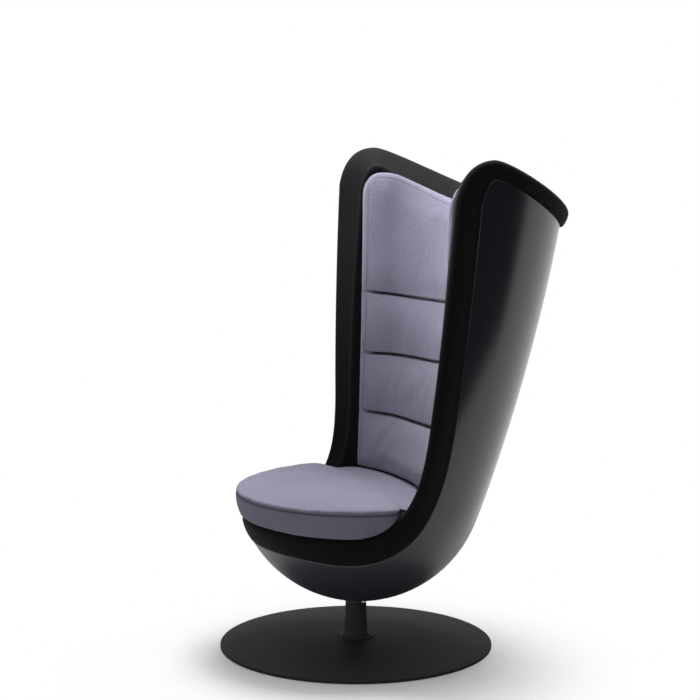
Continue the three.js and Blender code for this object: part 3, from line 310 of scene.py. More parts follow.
def points_of(piece):
    points = np.empty(len(piece.data.vertices) * 3)
    piece.data.vertices.foreach_get("co", points)
    return points.reshape(-1, 3)


def face_out(piece):
    """Flips a closed mesh whose faces point inwards."""
    mesh = piece.data
    mesh.calc_loop_triangles()
    corners = np.empty(len(mesh.loop_triangles) * 3, np.int32)
    mesh.loop_triangles.foreach_get("vertices", corners)
    a, b, c = points_of(piece)[corners.reshape(-1, 3)].transpose(1, 0, 2)
    if np.einsum("ij,ij->i", a, np.cross(b, c)).sum() < 0:
        mesh.flip_normals()
    mesh.update()


turned_tree = turning_tree()
sharp_from = math.radians(38)


def turned(name, profile, finish, body, facets=160):
    """A body of revolution from [radius, height] points that run round a closed profile."""
    points = [(radius, 0.0, height) for radius, height in profile]
    inputs = {"Facets": facets, "Points": len(points), "Finish": finish}
    piece = grown(name, points, [], turned_tree, inputs, body)
    face_out(piece)
    piece.data.set_sharp_from_angle(angle=sharp_from)
    return piece


def rounded(corners, radius, steps=4):
    """A closed profile whose corners are rounded; each corner may bring its own radius."""
    result = []
    count = len(corners)
    for k in range(count):
        here = np.array(corners[k][:2])
        before = np.array(corners[k - 1][:2]) - here
        after = np.array(corners[(k + 1) % count][:2]) - here
        own = corners[k][2] if len(corners[k]) > 2 else radius
        reach = min(own, 0.45 * np.linalg.norm(before), 0.45 * np.linalg.norm(after))
        if reach < 1e-6 or here[0] < 1e-9:
            result.append(tuple(here))
            continue
        start = here + before / np.linalg.norm(before) * reach
        end = here + after / np.linalg.norm(after) * reach
        for u in np.arange(steps + 1) / steps:
            result.append(tuple((1 - u) ** 2 * start + 2 * u * (1 - u) * here + u ** 2 * end))
    return result + [result[0]]


felt = grained("felt", (20, 20, 21), (38, 38, 40), (900, 3), (300, 2, 0.1, 0.88), (1400, 3), 0.0004)
steel = grained(
    "oiled_steel", (40, 42, 44), (62, 64, 66), (30, 4), (60, 4, 0.3, 0.45), (500, 3), 0.00008, 1.0
)


def powder_coat(name, dark, light):
    return coat(
        name,
        lambda place: speckle(place, 14.0, 3.0).tint(linear(*dark), linear(*light)),
        lambda place: speckle(place, 220.0) * 0.12 + 0.55,
        lambda place: speckle(place, 1500.0) + 0.35 * speckle(place, 420.0),
        0.00012,
        shader={"Specular IOR Level": 0.03},
    )


small_round = 0.0003
pad_profile = [(0, 0), (0.336, 0, 0.0006), (0.336, 0.0015, 0.0006), (0, 0.0015)]
pad = turned("felt_pad", rounded(pad_profile, 0), felt, "base")
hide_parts("floor_pad")
dress(nodes["ballast_plate"], steel)
dress(nodes["hub_boss"], steel)

powder = powder_coat("powder_coat", (43, 43, 44), (49, 49, 50))
cover_edge = [(0.350, 0.001), (0.350, 0.0081, 0.0026), (0.0505, 0.0231, 0.02), (0.0298, 0.0231)]
cover_inside = [(0.0298, 0.0211), (0.0505, 0.0211, 0.02), (0.348, 0.0061, 0.001), (0.348, 0.001)]
cover_profile = rounded(cover_edge + cover_inside, small_round, 6)
cover = turned("spun_cover", cover_profile, powder, "base", 240)
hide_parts("base_cover")

# Column: a turned steel tube with a concave flare at its foot, in the cover's powder coat but
# painted lighter, as painted light against the shade under the tub, drilled for four screws
# from below. A black ring closes the gap to the shell.
column_radius, flare_top, flare_radius = 0.0295, 0.0424, 0.0175
flare = [
    (column_radius + flare_radius * (1 - math.sin(t)), flare_top - flare_radius * math.cos(t), 0)
    for t in np.linspace(0, math.pi / 2, 20)
]
column_bore = [(0.0268, 0.1134, 0.0008), (0.019, 0.1134), (0.019, 0.0234), (0.047, 0.0234, 0.0003)]
# A lighter copy of the cover's powder: painted light against the shade under the tub.
column_painted_light_coat = powder_coat("painted_light_column_coat", (62, 62, 64), (70, 70, 72))
column_profile = rounded(flare + column_bore, small_round)
column = turned("column_tube", column_profile, column_painted_light_coat, "base", 128)
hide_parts("column")

plastic = grained(
    "black_plastic", (16, 16, 17), (24, 24, 25), (40,), (160, 2, 0.12, 0.5), (2200,), 0.00006
)
ring = [(0.0245, 0.1136), (0.0275, 0.1136, 0.0006), (0.0275, 0.1234, 0.0004), (0.0245, 0.1230)]
collar = turned("collar_ring", rounded(ring, small_round), plastic, "base", 96)
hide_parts("collar")

# Bearing and fixings inside the column and under the tub: natural nylon bushes, zinc-plated
# screws and washers, and an oiled steel spindle with its clip and square plate.
nylon = grained(
    "nylon", (208, 205, 194), (224, 221, 211), (90,), (200, 2, 0.1, 0.42), (900,), 0.00004
)
zinc_tones = (152, 156, 160), (184, 187, 190)
zinc = grained("zinc_plate", *zinc_tones, (160, 3), (400, 3, 0.2, 0.22), (1800,), 0.00003, 1.0)
for name in nodes:
    if name in ("upper_bush", "lower_bush"):
        dress(nodes[name], nylon)
    elif "screw" in name or "bolt" in name or "washer" in name:
        dress(nodes[name], zinc)
    elif name in ("spindle", "retaining_clip", "seat_plate"):
        dress(nodes[name], steel)
    elif name.startswith("shell_post") or name == "inner_shell":
        dress(nodes[name], plastic)

# Outer shell: one thin moulding of satin charcoal plastic. It is a ball-shaped bowl that
# flares and leans back as it rises, open over the column and cut to the sweep of the rim.
bowl_radius = 0.318
bowl_setback = 0.010
bowl_centre = 0.4414
join_drop = 0.116
join_height = bowl_centre - join_drop
throat_radius = 0.321
throat_setback = 0.0286
wing_height = 0.821
wing_top_radius = 0.427
wing_top_setback = 0.122
flare_ease = 0.76
shell_wall = 0.005


def tub_form(height):
    """Radius and setback of the round section at heights from the join up."""
    u = (height - bowl_centre) / wing_height
    radius = throat_radius + (wing_top_radius - throat_radius) * u * (1 + flare_ease * (1 - u))
    setback = throat_setback + (wing_top_setback - throat_setback) * u
    join_radius = math.sqrt(bowl_radius ** 2 - join_drop ** 2)
    v = np.clip((height - join_height) / join_drop, 0, 1)
    w = 1 - v
    flare_slope = (wing_top_radius - throat_radius) * (1 + flare_ease) / wing_height
    lean_slope = (wing_top_setback - throat_setback) / wing_height
    low_radius = w * w * ((1 + 2 * v) * join_radius + v * join_drop ** 2 / join_radius)
    low_radius = low_radius + v * v * ((1 + 2 * w) * throat_radius - w * join_drop * flare_slope)
    low_setback = w * w * (1 + 2 * v) * bowl_setback
    low_setback = low_setback + v * v * ((1 + 2 * w) * throat_setback - w * join_drop * lean_slope)
    low = height < bowl_centre
    return np.where(low, low_radius, radius), np.where(low, low_setback, setback)


join_turn = math.acos(join_drop / bowl_radius)
line_heights = np.linspace(join_height, 1.30, 1200)
line_radii, _ = tub_form(line_heights)
line_steps = np.hypot(np.diff(line_heights), np.diff(line_radii))
line_lengths = bowl_radius * join_turn + np.concatenate([[0], np.cumsum(line_steps)])


def length_at(height):
    """How far a height lies from the bowl's lowest point, measured up the wall."""
    turn = np.arccos(np.clip((bowl_centre - height) / bowl_radius, -1, 1))
    above = np.interp(height, line_heights, line_lengths)
    return np.where(height < join_height, bowl_radius * turn, above)


def tub_point(angle, length, offset):
    """Points of the tub's wall at angles round it and lengths up it, moved out by an offset."""
    turn = length / bowl_radius
    height = np.interp(length, line_lengths, line_heights)
    radius, setback = tub_form(height)
    lift = -offset * join_drop / bowl_radius * np.clip((bowl_centre - height) / join_drop, 0, 1)
    low = length < line_lengths[0]
    reach = np.where(low, (bowl_radius + offset) * np.sin(turn), radius + offset)
    up = np.where(low, bowl_centre - (bowl_radius + offset) * np.cos(turn), height + lift)
    back = np.where(low, bowl_setback, setback)
    return np.stack([reach * np.cos(angle), back + reach * np.sin(angle), up], axis=-1)


def setback_at(height):
    """How far back the middle of the tub's round section lies."""
    above = tub_form(np.maximum(height, join_height))[1]
    return np.where(height < join_height, bowl_setback, above)


def tub_place(points):
    """Angle round and length up the wall of the points of the wall that lie level with these."""
    height = points[..., 2]
    return np.arctan2(points[..., 1] - setback_at(height), points[..., 0]), length_at(height)


def tub_radius(height):
    ball = np.sqrt(np.maximum(bowl_radius ** 2 - (height - bowl_centre) ** 2, 0))
    return np.where(height < join_height, ball, tub_form(np.maximum(height, join_height))[0])


def curve(points, count):
    """Points of a line, or of a curve with one or two pull points."""
    u = np.linspace(0, 1, count)[:, None]
    p = [np.array(q) for q in points]
    w = 1 - u
    if len(p) == 2:
        return w * p[0] + u * p[1]
    if len(p) == 3:
        return w ** 2 * p[0] + 2 * u * w * p[1] + u ** 2 * p[2]
    return w ** 3 * p[0] + 3 * u * w ** 2 * p[1] + 3 * u ** 2 * w * p[2] + u ** 3 * p[3]


def rim_side():
    """The rim seen from the side: [y, z] from the front lip over the wing's peak to the back."""
    bowl = lambda y, z: (bowl_setback + y * bowl_radius, bowl_centre + z * bowl_radius)
    wing = lambda y, z: (bowl_setback + y * wing_top_radius, bowl_centre + z * wing_height)
    runs = [
        [bowl(-1.15, -0.299), bowl(-0.44, -0.324)],
        [bowl(-0.44, -0.324), bowl(-0.15, -0.327), bowl(0.0, -0.21), bowl(0.094, 0.044)],
        [bowl(0.094, 0.044), wing(0.117, 0.084), wing(0.131, 0.242)],
        [wing(0.131, 0.242), wing(0.21, 0.88)],
        [wing(0.21, 0.88), wing(0.26, 1.0), wing(0.443, 1.0)],
        [wing(0.443, 1.0), wing(0.55, 1.0), wing(1.03, 0.86), wing(1.282, 0.78)],
    ]
    return np.concatenate([curve(run, 900)[:-1] for run in runs])


def on_tub(outline):
    """The right half of the line where a side outline meets the tub, from front to back."""
    steps = [curve(pair, 6)[1:] for pair in zip(outline[:-1], outline[1:])]
    y, height = np.concatenate([outline[:1], *steps]).T
    side = tub_radius(height) ** 2 - (y - setback_at(height)) ** 2
    inside = np.flatnonzero(side > 0)
    line = np.stack([np.sqrt(np.maximum(side, 0)), y, height], axis=1)[inside[0] : inside[-1] + 1]
    line[[0, -1], 0] = 0
    return line


def run_along(line):
    """How far each point of a line lies from its start, measured along it."""
    return np.concatenate([[0], np.cumsum(np.linalg.norm(np.diff(line, axis=0), axis=1))])


def line_at(places, lengths, line):
    """Points of a line at places given as lengths along it."""
    return np.stack([np.interp(places, lengths, column) for column in line.T], axis=1)


# The rim's stations: evenly spaced, with more at the band's seam and the wing's front corner.
rim_line = on_tub(rim_side())
rim_lengths = run_along(rim_line)
half_length = rim_lengths[-1]
corner_y, corner_z, corner_reach = 0.13, 1.225, 0.12
from_corner = np.hypot(rim_line[:, 1] - corner_y, rim_line[:, 2] - corner_z)
at_corner = rim_lengths[from_corner < corner_reach] / half_length
spacing = np.linspace(-1, 1, 81)
spacing = 0.45 * spacing + 0.55 * spacing ** 3
corner_shares = at_corner.mean() + np.ptp(at_corner) / 2 * spacing
seam_share = 0.2035
seam_shares = (0.2023, 0.2029, seam_share, 0.2041, 0.2047)
half_shares = np.unique(np.concatenate([np.linspace(0, 1, 241), seam_shares, corner_shares]))
half = line_at(half_shares * half_length, rim_lengths, rim_line)
rim = np.concatenate([half, (half * [-1, 1, 1])[-2:0:-1]])
stations = len(rim)
station_lengths = np.concatenate([half_shares, 2 - half_shares[-2:0:-1]]) * half_length
closed_line = np.concatenate([rim_line, (rim_line * [-1, 1, 1])[-2::-1]])
closed_lengths = np.concatenate([rim_lengths, 2 * half_length - rim_lengths[-2::-1]])


def rim_at(lengths):
    """Points of the whole rim at lengths along it from the front."""
    return line_at(np.mod(lengths, 2 * half_length), closed_lengths, closed_line)


def unit(vectors):
    return vectors / np.linalg.norm(vectors, axis=1)[:, None]


def softened(values, rounds):
    for _ in range(rounds):
        values = (np.roll(values, 1, axis=0) + 2 * values + np.roll(values, -1, axis=0)) / 4
    return values


def ease(value, start, end):
    u = np.clip((value - start) / (end - start), 0, 1)
    return u * u * (3 - 2 * u)


tangent_reach = 0.018
tangent_steps = (0.4 * tangent_reach, 0.7 * tangent_reach, tangent_reach)
along = unit(sum(rim_at(station_lengths + s) - rim_at(station_lengths - s) for s in tangent_steps))
rim_angle, _ = tub_place(rim)
outward = np.stack([np.cos(rim_angle), np.sin(rim_angle), np.zeros(stations)], axis=1)
outward = unit(outward - along * np.einsum("ij,ij->i", along, outward)[:, None])
inward = np.cross(along, outward)

# The band of cloth below the rim: its width at the front lip, what it gains and its width on top.
lip_band, band_gain, top_band = 0.056, 0.012, 0.041
peak_y = bowl_setback + 0.443 * wing_top_radius
wing_top = bowl_centre + wing_height
lip_share = ease(rim[:, 1], bowl_setback - bowl_radius, bowl_setback - 0.44 * bowl_radius)
band = lip_band + band_gain * lip_share
top_share = ease(
    rim[:, 1], bowl_setback + 0.21 * wing_top_radius, bowl_setback + 0.55 * wing_top_radius
)
band = band + (top_band - band) * top_share


def below_rim(depth):
    """Angle and length of the wall's points a depth below each point of the rim."""
    return tub_place(rim + inward * np.broadcast_to(depth, stations)[:, None])


# The wall's grid runs in rings from the hole under the hub to the rim. On a flat map of the
# wall, rings grow from the hole to a circle about a middle point, and from there to the edge.
map_middle = np.array([0.0, 0.24])
map_circle = 0.33
hub_hole_radius = 0.024


def on_map(angle, length):
    return np.stack([length * np.cos(angle), length * np.sin(angle)], axis=-1)


def off_map(places):
    return np.arctan2(places[..., 1], places[..., 0]), np.linalg.norm(places, axis=-1)


def rings_between(start, end, shares):
    shares = np.asarray(shares)[:, None, None]
    return start * (1 - shares) + end * shares


def skin(loops, ends=None):
    """Faces between closed loops of points: a ring of loops, or a skin closed by two end points."""
    rows, count = loops.shape[:2]
    here = np.arange(count)
    after = (here + 1) % count
    faces = []
    for j in range(rows if ends is None else rows - 1):
        low, high = j * count, ((j + 1) % rows) * count
        faces.append(np.stack([low + here, low + after, high + after, high + here], axis=1))
    points = loops.reshape(-1, 3)
    quads = np.concatenate(faces).tolist()
    if ends is None:
        return points, quads
    bottom, top, last = len(points), len(points) + 1, (rows - 1) * count
    fans = [[bottom, b, a] for a, b in zip(here.tolist(), after.tolist())]
    fans += [[top, last + a, last + b] for a, b in zip(here.tolist(), after.tolist())]
    return np.concatenate([points, ends]), quads + fans


edge_round = shell_wall / 2
shell_stations = 480


def edge_line(depth):
    """The line a depth below the rim on the flat map, in evenly spaced points without folds."""
    line = softened(on_map(*below_rim(depth)), 6)
    line = np.concatenate([line, line[:1]])
    lengths = run_along(line)
    return line_at(np.linspace(0, lengths[-1], shell_stations, endpoint=False), lengths, line)


below_map = edge_line(band + edge_round)
spokes = unit(below_map - map_middle)
circle = map_middle + map_circle * spokes
to_circle = np.linspace(0, 1, 26)[:-1]
to_edge = 1 - (1 - np.linspace(0, 1, 64)) ** 1.3
inner_rings = rings_between(hub_hole_radius * spokes, circle, to_circle)
shell_map = np.concatenate([inner_rings, rings_between(circle, below_map, to_edge)])
wall_angle, wall_length = off_map(shell_map)
outer_face = tub_point(wall_angle, wall_length, 0.0)
inner_face = tub_point(wall_angle, wall_length, -shell_wall)
nose = []
for turn in np.linspace(0, math.pi, 9)[1:-1]:
    angle, length = off_map(edge_line(band + edge_round * (1 - math.sin(turn))))
    nose.append(tub_point(angle, length, -edge_round * (1 - math.cos(turn))))
shell_loops = np.concatenate([outer_face, np.array(nose), inner_face[::-1]])

# The bowl's underside is rougher than the wings, so it mirrors less of the floor.
matt_below, satin_above = 0.2, 0.42


def satin_gloss(place):
    height = place.split()[2]
    roughness = speckle(place, 5.0, 3.0) * 0.05 + 0.17
    return roughness + 0.3 * (1 - height.between(matt_below, satin_above))


satin = coat(
    "satin_shell",
    lambda place: speckle(place, 3.0, 3.0).tint(linear(45, 42, 50), linear(52, 48, 57)),
    satin_gloss,
    lambda place: speckle(place, 1600.0),
    0.00003,
    shader={"Specular IOR Level": 0.52},
)


def part(name, points, faces, finish, body, slot):
    """A smooth-shaded piece from points and faces, facing outwards, that rides on a body."""
    piece = built(name, points, faces)
    piece.data.validate()
    piece.data.polygons.foreach_set("use_smooth", [True] * len(piece.data.polygons))
    face_out(piece)
    dress(piece, finish)
    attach(piece, body)
    return piece


shell = part("moulded_shell", *skin(shell_loops), satin, "seat", "shell_black")
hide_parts("outer_shell")

# Seat board and the foam disc in the well: plain birch plywood, and cut foam glued on it.
# The disc is round, and cut straight at the back where the back's padding comes down.
def plies(place):
    grain = place.node("ShaderNodeMapping", {"Vector": place, "Scale": (3.0, 60.0, 400.0)})
    noise = place.node("ShaderNodeTexNoise", {"Vector": grain, "Scale": 4.0, "Detail": 4.0})
    return noise.tint(linear(158, 122, 78), linear(201, 167, 121))


plywood = coat(
    "plywood",
    plies,
    lambda place: speckle(place, 120.0) * 0.15 + 0.6,
    lambda place: speckle(place, 600.0, 3.0),
    0.0001,
)
foam = coat(
    "cut_foam",
    lambda place: speckle(place, 500.0, 3.0).tint(linear(192, 186, 164), linear(217, 211, 190)),
    lambda place: speckle(place, 200.0) * 0.1 + 0.86,
    lambda place: place.node("ShaderNodeTexVoronoi", {"Vector": place, "Scale": 700.0}),
    0.0005,
)
dress(nodes["seat_board"], plywood)
foam_low, foam_high = (corner[2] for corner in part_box("seat_base_foam"))
foam_radius, foam_cut = 0.2431, 0.1437
foam_angles = np.linspace(0, 2 * math.pi, 144, endpoint=False)
to_cut = foam_cut / np.maximum(np.sin(foam_angles), 1e-6)
foam_round = softened(np.minimum(foam_radius, np.where(np.sin(foam_angles) > 0, to_cut, 1.0)), 6)
foam_rows = [
    (0.3, 0.0), (0.7, 0.0), (0.97, 0.0), (0.994, 0.06), (1.0, 0.2),
    (1.0, 0.8), (0.994, 0.94), (0.97, 1.0), (0.6, 1.0), (0.25, 1.0),
]


def foam_point(angle, radius, up):
    height = foam_low + (foam_high - foam_low) * up
    return radius * math.cos(angle), bowl_setback + radius * math.sin(angle), height


foam_edge = list(zip(foam_angles, foam_round))
foam_loops = [[foam_point(t, r * share, up) for t, r in foam_edge] for share, up in foam_rows]
foam_ends = [(0, bowl_setback, foam_low), (0, bowl_setback, foam_high)]
foam_disc = part("foam_disc", *skin(np.array(foam_loops), foam_ends), foam, "seat", "foam")
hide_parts("seat_base_foam")

# Liner: foam with black wool cloth sewn over it. The cloth comes from the shell's edge as a
# band, rolls over the rim, slopes into the tub and lines the wings down to the seat board.
liner_offset = 0.0304
seat_edge_top = bowl_centre - 0.023
well_radius = 0.2440
liner_bottom = 0.3110
back_slack = 0.0179
low_taper, taper_foot = 0.024, 0.2907
well_top, well_end = 0.343, 0.350


def back_section(height, offset):
    """Half width, depth and centre of the padding's inner face, half an ellipse at each height."""
    u = np.clip((height - seat_edge_top) / (wing_top - seat_edge_top), 0, 1)
    rise = 1 - (1 - u) ** 2
    half_width = 0.254 + 0.056 * rise
    middle = 0.130 + 0.195 * rise
    depth = 0.068 + 0.219 * rise
    return half_width + offset, depth + offset, bowl_setback + middle - depth


def hollow_reach(angle, height):
    """How far the sitter's space reaches from the tub's middle, at angles and heights."""
    setback = setback_at(height)
    taper = low_taper * np.clip((seat_edge_top - height) / (seat_edge_top - taper_foot), 0, 1)
    half_width, depth, centre = back_section(height, liner_offset - taper)
    cos, sin = np.cos(angle), np.sin(angle)
    side = half_width / np.maximum(np.abs(cos), 1e-6)
    a = (cos / half_width) ** 2 + (sin / depth) ** 2
    b = sin * (setback - centre) / depth ** 2
    c = ((setback - centre) / depth) ** 2 - 1
    arc = (-b + np.sqrt(np.maximum(b * b - a * c, 0))) / a
    space = np.where(setback + side * sin < centre, side, arc)
    shift = bowl_setback - setback
    well = shift * sin + np.sqrt(np.maximum(well_radius ** 2 - (shift * cos) ** 2, 0))
    share = ease(height, well_top, well_end)
    return np.minimum(space, well * (1 - share) + (well + 0.5) * share)


# How proud of the shell the padding stands, how far its rolled edge slopes and how deep it is.
nose_radius = 0.014
least_proud, proud_gain, back_proud = 0.002, 0.008, 0.017
back_share = ease(rim[:, 1], peak_y, wing_top_setback + wing_top_radius)
wing_share = ease(rim[:, 2], bowl_centre - 0.105, seat_edge_top + 0.058)
proud = least_proud + proud_gain * wing_share
proud = proud + (back_proud - proud) * back_share


def padding_at(depth):
    """Places on the wall a depth below the rim, and how deep the padding is there."""
    place = rim + inward * depth[:, None]
    angle, length = tub_place(place)
    height = place[:, 2]
    return angle, length, tub_radius(height) - hollow_reach(angle, height)


lip_slope, wing_slope, deep_slope = 0.004, 0.026, 0.014
shallow_pad, deep_pad, least_pad = 0.075, 0.12, 0.013
corner_least, corner_most = 0.002, 0.012
slope = lip_slope + wing_slope * wing_share
_, _, pad_depth = padding_at(slope + corner_most)
slope = slope + deep_slope * ease(pad_depth, shallow_pad, deep_pad)
inner_corner = np.clip((pad_depth + proud - nose_radius) * 0.55, corner_least, corner_most)
top_angle, top_length, pad_depth = padding_at(slope + inner_corner)
pad_depth = np.maximum(pad_depth, least_pad)


def bell(offset, width):
    """1 where the offset is 0, falling away smoothly over the width."""
    return np.exp(-((offset / width) ** 2))


# The cloth gathers at the wing's front corner, and a short seam crosses the band on each side.
pucker, small_pucker, pucker_reach, seam_notch, notch_width = 0.0013, 0.00035, 0.05, 0.0012, 0.0022
rim_run = run_along(rim)
corner_pull = bell(rim[:, 2] - corner_z, pucker_reach) * bell(rim[:, 1] - corner_y, pucker_reach)
gather = pucker * np.sin(rim_run * 620.0 + 1.5 * np.sin(rim_run * 77.0)) * corner_pull
small_gather = small_pucker * np.sin(rim_run * 150.0 + 2.0 * np.sin(rim_run * 41.0))
gather = gather + small_gather * (0.3 + corner_pull)
seam_at = np.interp(seam_share * rim_run[len(half) - 1], rim_run[: len(half)], np.arange(len(half)))
seam_runs = np.interp((seam_at, stations - seam_at), np.arange(stations), rim_run)
seam_cut = seam_notch * sum(bell(rim_run - seam_run, notch_width) for seam_run in seam_runs)
loops = []


def edge_ring(out, depth, skirt=0.0):
    """Adds a ring of cloth: out from the tub's face and down from the rim, at each station."""
    ripple = (gather - seam_cut) * skirt
    loops.append(tub_point(*below_rim(depth), np.broadcast_to(out, stations) + ripple))


# The rings in turn: the tucked hem, its fold, the band, the roll over the rim, the slope into
# the tub and the inner corner.
hem_gap, tuck, hem_lip, hem_rise, hem_round = 0.0003, 0.0087, 0.0012, 0.0032, 0.0035
hem = band - hem_gap
roll_width, band_swell = 0.044, 0.0014
for share in (0, 0.5):
    edge_ring(-tuck + (tuck - hem_lip) * share, hem)
for turn in np.linspace(0, math.pi / 2, 5):
    fold = hem - hem_round * (1 - math.cos(turn))
    edge_ring(-hem_lip + hem_rise * math.sin(turn), fold, 0.4)
band_end = hem - hem_round
for share in np.linspace(0, 1, 16)[1:-1]:
    depth = band_end + (nose_radius - band_end) * share
    lift = np.clip(1 - (depth - nose_radius) / roll_width, 0, 1)
    swell = band_swell * math.sin(share * math.pi)
    out = np.maximum(least_proud, proud * lift ** 0.8) + swell
    edge_ring(out, depth, 1.0 - 0.75 * share)
for turn in np.linspace(0, math.pi / 2, 10):
    out = proud - nose_radius * (1 - math.cos(turn))
    edge_ring(out, nose_radius * (1 - math.sin(turn)), 0.2 * math.cos(turn))
face_start = proud - nose_radius
face_end = -(pad_depth - inner_corner)
for share in np.linspace(0, 1, 14)[1:]:
    edge_ring(face_start + (face_end - face_start) * share, slope * share ** 1.25)
for turn in np.linspace(0, math.pi / 2, 6)[1:]:
    out = face_end - inner_corner * math.sin(turn)
    edge_ring(out, slope + inner_corner * (1 - math.cos(turn)))

bottom_length = float(length_at(np.array(liner_bottom)))


def towards_well(places):
    """Where lines from the map's middle through these places cross the well's circle."""
    ray = unit(places - map_middle)
    b = ray @ map_middle
    reach = -b + np.sqrt(b * b - map_middle @ map_middle + bottom_length ** 2)
    return map_middle + ray * reach[:, None]


# Then the inner face down to the board, the hidden face up again, and the hem's pocket.
top_map = on_map(top_angle, top_length)
for ring_map in rings_between(top_map, towards_well(top_map), np.linspace(0, 1, 44))[1:]:
    angle, length = off_map(ring_map)
    height = tub_point(angle, length, 0.0)[:, 2]
    reach = hollow_reach(angle, height)
    back = setback_at(height) + reach * np.sin(angle)
    loops.append(np.stack([reach * np.cos(angle), back, height], axis=1))
pocket_depth, pocket_back = 0.0297, 0.0133
pocket_map = on_map(*below_rim(pocket_depth))
for ring_map in rings_between(towards_well(pocket_map), pocket_map, np.linspace(0, 1, 40)):
    ring_points = tub_point(*off_map(ring_map), -back_slack)
    ring_points[:, 2] = np.maximum(ring_points[:, 2], liner_bottom)
    loops.append(ring_points)
edge_ring(-pocket_back, pocket_depth)
for share in np.linspace(0, 1, 5)[:-1]:
    edge_ring(-tuck, pocket_depth + (hem - pocket_depth) * share)
cloth_loops = np.array(loops)


def weave(place, pitch):
    """Plain weave on any face: raised threads that cross, as a height from 0 to 1."""
    drift = place.node("ShaderNodeTexNoise", {"Vector": place, "Scale": 60.0}, output=1)
    sway = {0: drift, 1: (0.0012,) * 3, 2: place}
    x, y, z = place.node("ShaderNodeVectorMath", sway, {"operation": "MULTIPLY_ADD"}).split()
    rate = 2 * math.pi / pitch * 0.7071
    return ((x + z) * rate).sine() * ((y - z) * rate).sine() * 0.5 + 0.5


def cloth(name, dark, light, sheen):
    """Woven wool: two tones of yarn, soft mottling, fuzz, the threads' relief and painted shade in
    seams.
    """
    pitch = 0.0021

    def base(place):
        yarn = weave(place, pitch) * 0.25 + speckle(place, 330.0, 4.0, 0.75) * 0.6
        tone = (yarn + speckle(place, 9.0, 3.0) * 0.15).between(0.25, 0.75)
        # A point attribute named sewn mixes in a dark colour: painted shade in the seams' creases.
        sewn = place.node("ShaderNodeAttribute", None, {"attribute_name": "sewn"}, 2)
        return sewn.tint(tone.tint(linear(*dark), linear(*light)), linear(26, 24, 30))

    def relief(place):
        fuzz = weave(place, pitch) * 0.6 + speckle(place, 1100.0) * 0.5
        return fuzz + speckle(place, 34.0, 3.0) * 1.1

    def gloss(place):
        return speckle(place, 400.0) * 0.08 + 0.86

    shader = {"Sheen Weight": sheen, "Sheen Roughness": 0.5, "Specular IOR Level": 0.12}
    return coat(name, base, gloss, relief, 0.0006, 0.6, shader=shader)


black_cloth = cloth("black_wool", (4, 4, 5), (15, 14, 17), 0.04)
liner = part("padded_liner", *skin(cloth_loops), black_cloth, "seat", "black_fabric")
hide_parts("liner")


def stitching_tree():
    """Lays short threads along the object's line of edges, one every spacing."""
    tree, line, spacing, thread, finish = geometry_tree(
        "stitched", Spacing="Float", Thread="Float", Finish="Material"
    )
    path = line.node("GeometryNodeMeshToCurve", {"Mesh": line})
    places = tree.nodes.new("GeometryNodeCurveToPoints")
    places.mode = "LENGTH"
    tree.links.new(path.socket, places.inputs["Curve"])
    tree.links.new(spacing.socket, places.inputs["Length"])
    bead = line.node("GeometryNodeMeshUVSphere", {"Segments": 6, "Rings": 5, "Radius": 1.0})
    size = line.node("ShaderNodeCombineXYZ", {"X": thread, "Y": thread, "Z": spacing * 0.36})
    lying = line.node("GeometryNodeTransform", {"Geometry": bead, "Scale": size})
    where = {name: Wire(tree, places.outputs[name]) for name in ("Points", "Rotation")}
    rows = line.node("GeometryNodeInstanceOnPoints", {**where, "Instance": lying})
    finished(line.node("GeometryNodeRealizeInstances", {"Geometry": rows}), finish)
    return tree


stitched_tree = stitching_tree()
stitch_spacing, thread_radius = 0.0045, 0.0005


def stitched(name, rows, finish):
    """Rows of stitches along lines of points."""
    points, links = [], []
    for row in rows:
        links += [(k, k + 1) for k in range(len(points), len(points) + len(row) - 1)]
        points += list(row)
    inputs = {"Spacing": stitch_spacing, "Thread": thread_radius, "Finish": finish}
    return grown(name, points, links, stitched_tree, inputs, "seat")


def thread_finish(name, dark, light):
    return grained(name, dark, light, (900,), (400, 2, 0.1, 0.6), (3000,), 0.0001)


# Two rows of stitches lie beside each of the band's seams, from the hem's fold to the roll.
beside_seam, thread_lift = 0.004, 0.0003
band_rings = slice(6, 21)
band_rows = []
for seam_run in seam_runs:
    for shift in (-beside_seam, beside_seam):
        place = np.interp(seam_run + shift, rim_run, np.arange(stations))
        low, share = int(place), place - int(place)
        line = cloth_loops[band_rings, low] * (1 - share) + cloth_loops[band_rings, low + 1] * share
        band_rows.append(line + outward[low] * thread_lift)
black_thread = thread_finish("black_thread", (14, 13, 15), (26, 25, 28))
stitched("band_stitches", band_rows, black_thread)

# Hook-and-loop strips under and behind the cushions: black tape glued to the cloth.
for name in ("seat_strip_1", "seat_strip_2", "back_strip_1", "back_strip_2"):
    dress(nodes[name], felt)

# Seat cushion: a loose block of foam in lavender wool. Its round front hangs over the rim,
# and a seam runs round it just under the top edge, where the top panel meets the side wall.
seat_bottom = bowl_centre - 0.105
seat_height = seat_edge_top - seat_bottom
seat_seam = seat_bottom + 0.845 * seat_height
seat_centre = np.array([0.0, -0.050])
lobe_radius = 0.320
lobe_end = math.asin(0.032 / lobe_radius)


def seat_outline(count):
    half_width, depth, centre = back_section(np.array(seat_edge_top), liner_offset - 0.0009)
    front = np.linspace(-math.pi + lobe_end, -lobe_end, 160)
    rear = np.linspace(0, math.pi, 120)
    lobe = lobe_radius * np.stack([np.cos(front), np.sin(front)], axis=1) + [0, bowl_setback]
    tail = np.stack([half_width * np.cos(rear), centre + depth * np.sin(rear)], axis=1)
    step = curve([tuple(lobe[-1]), (0.3165, 0.011), (float(half_width), 0.013)], 12)[1:]
    outline = np.concatenate([lobe, step, tail, step[::-1] * [-1, 1], lobe[:1]])
    lengths = run_along(outline)
    return softened(line_at(np.linspace(0, 1, count + 1)[:-1] * lengths[-1], lengths, outline), 3)


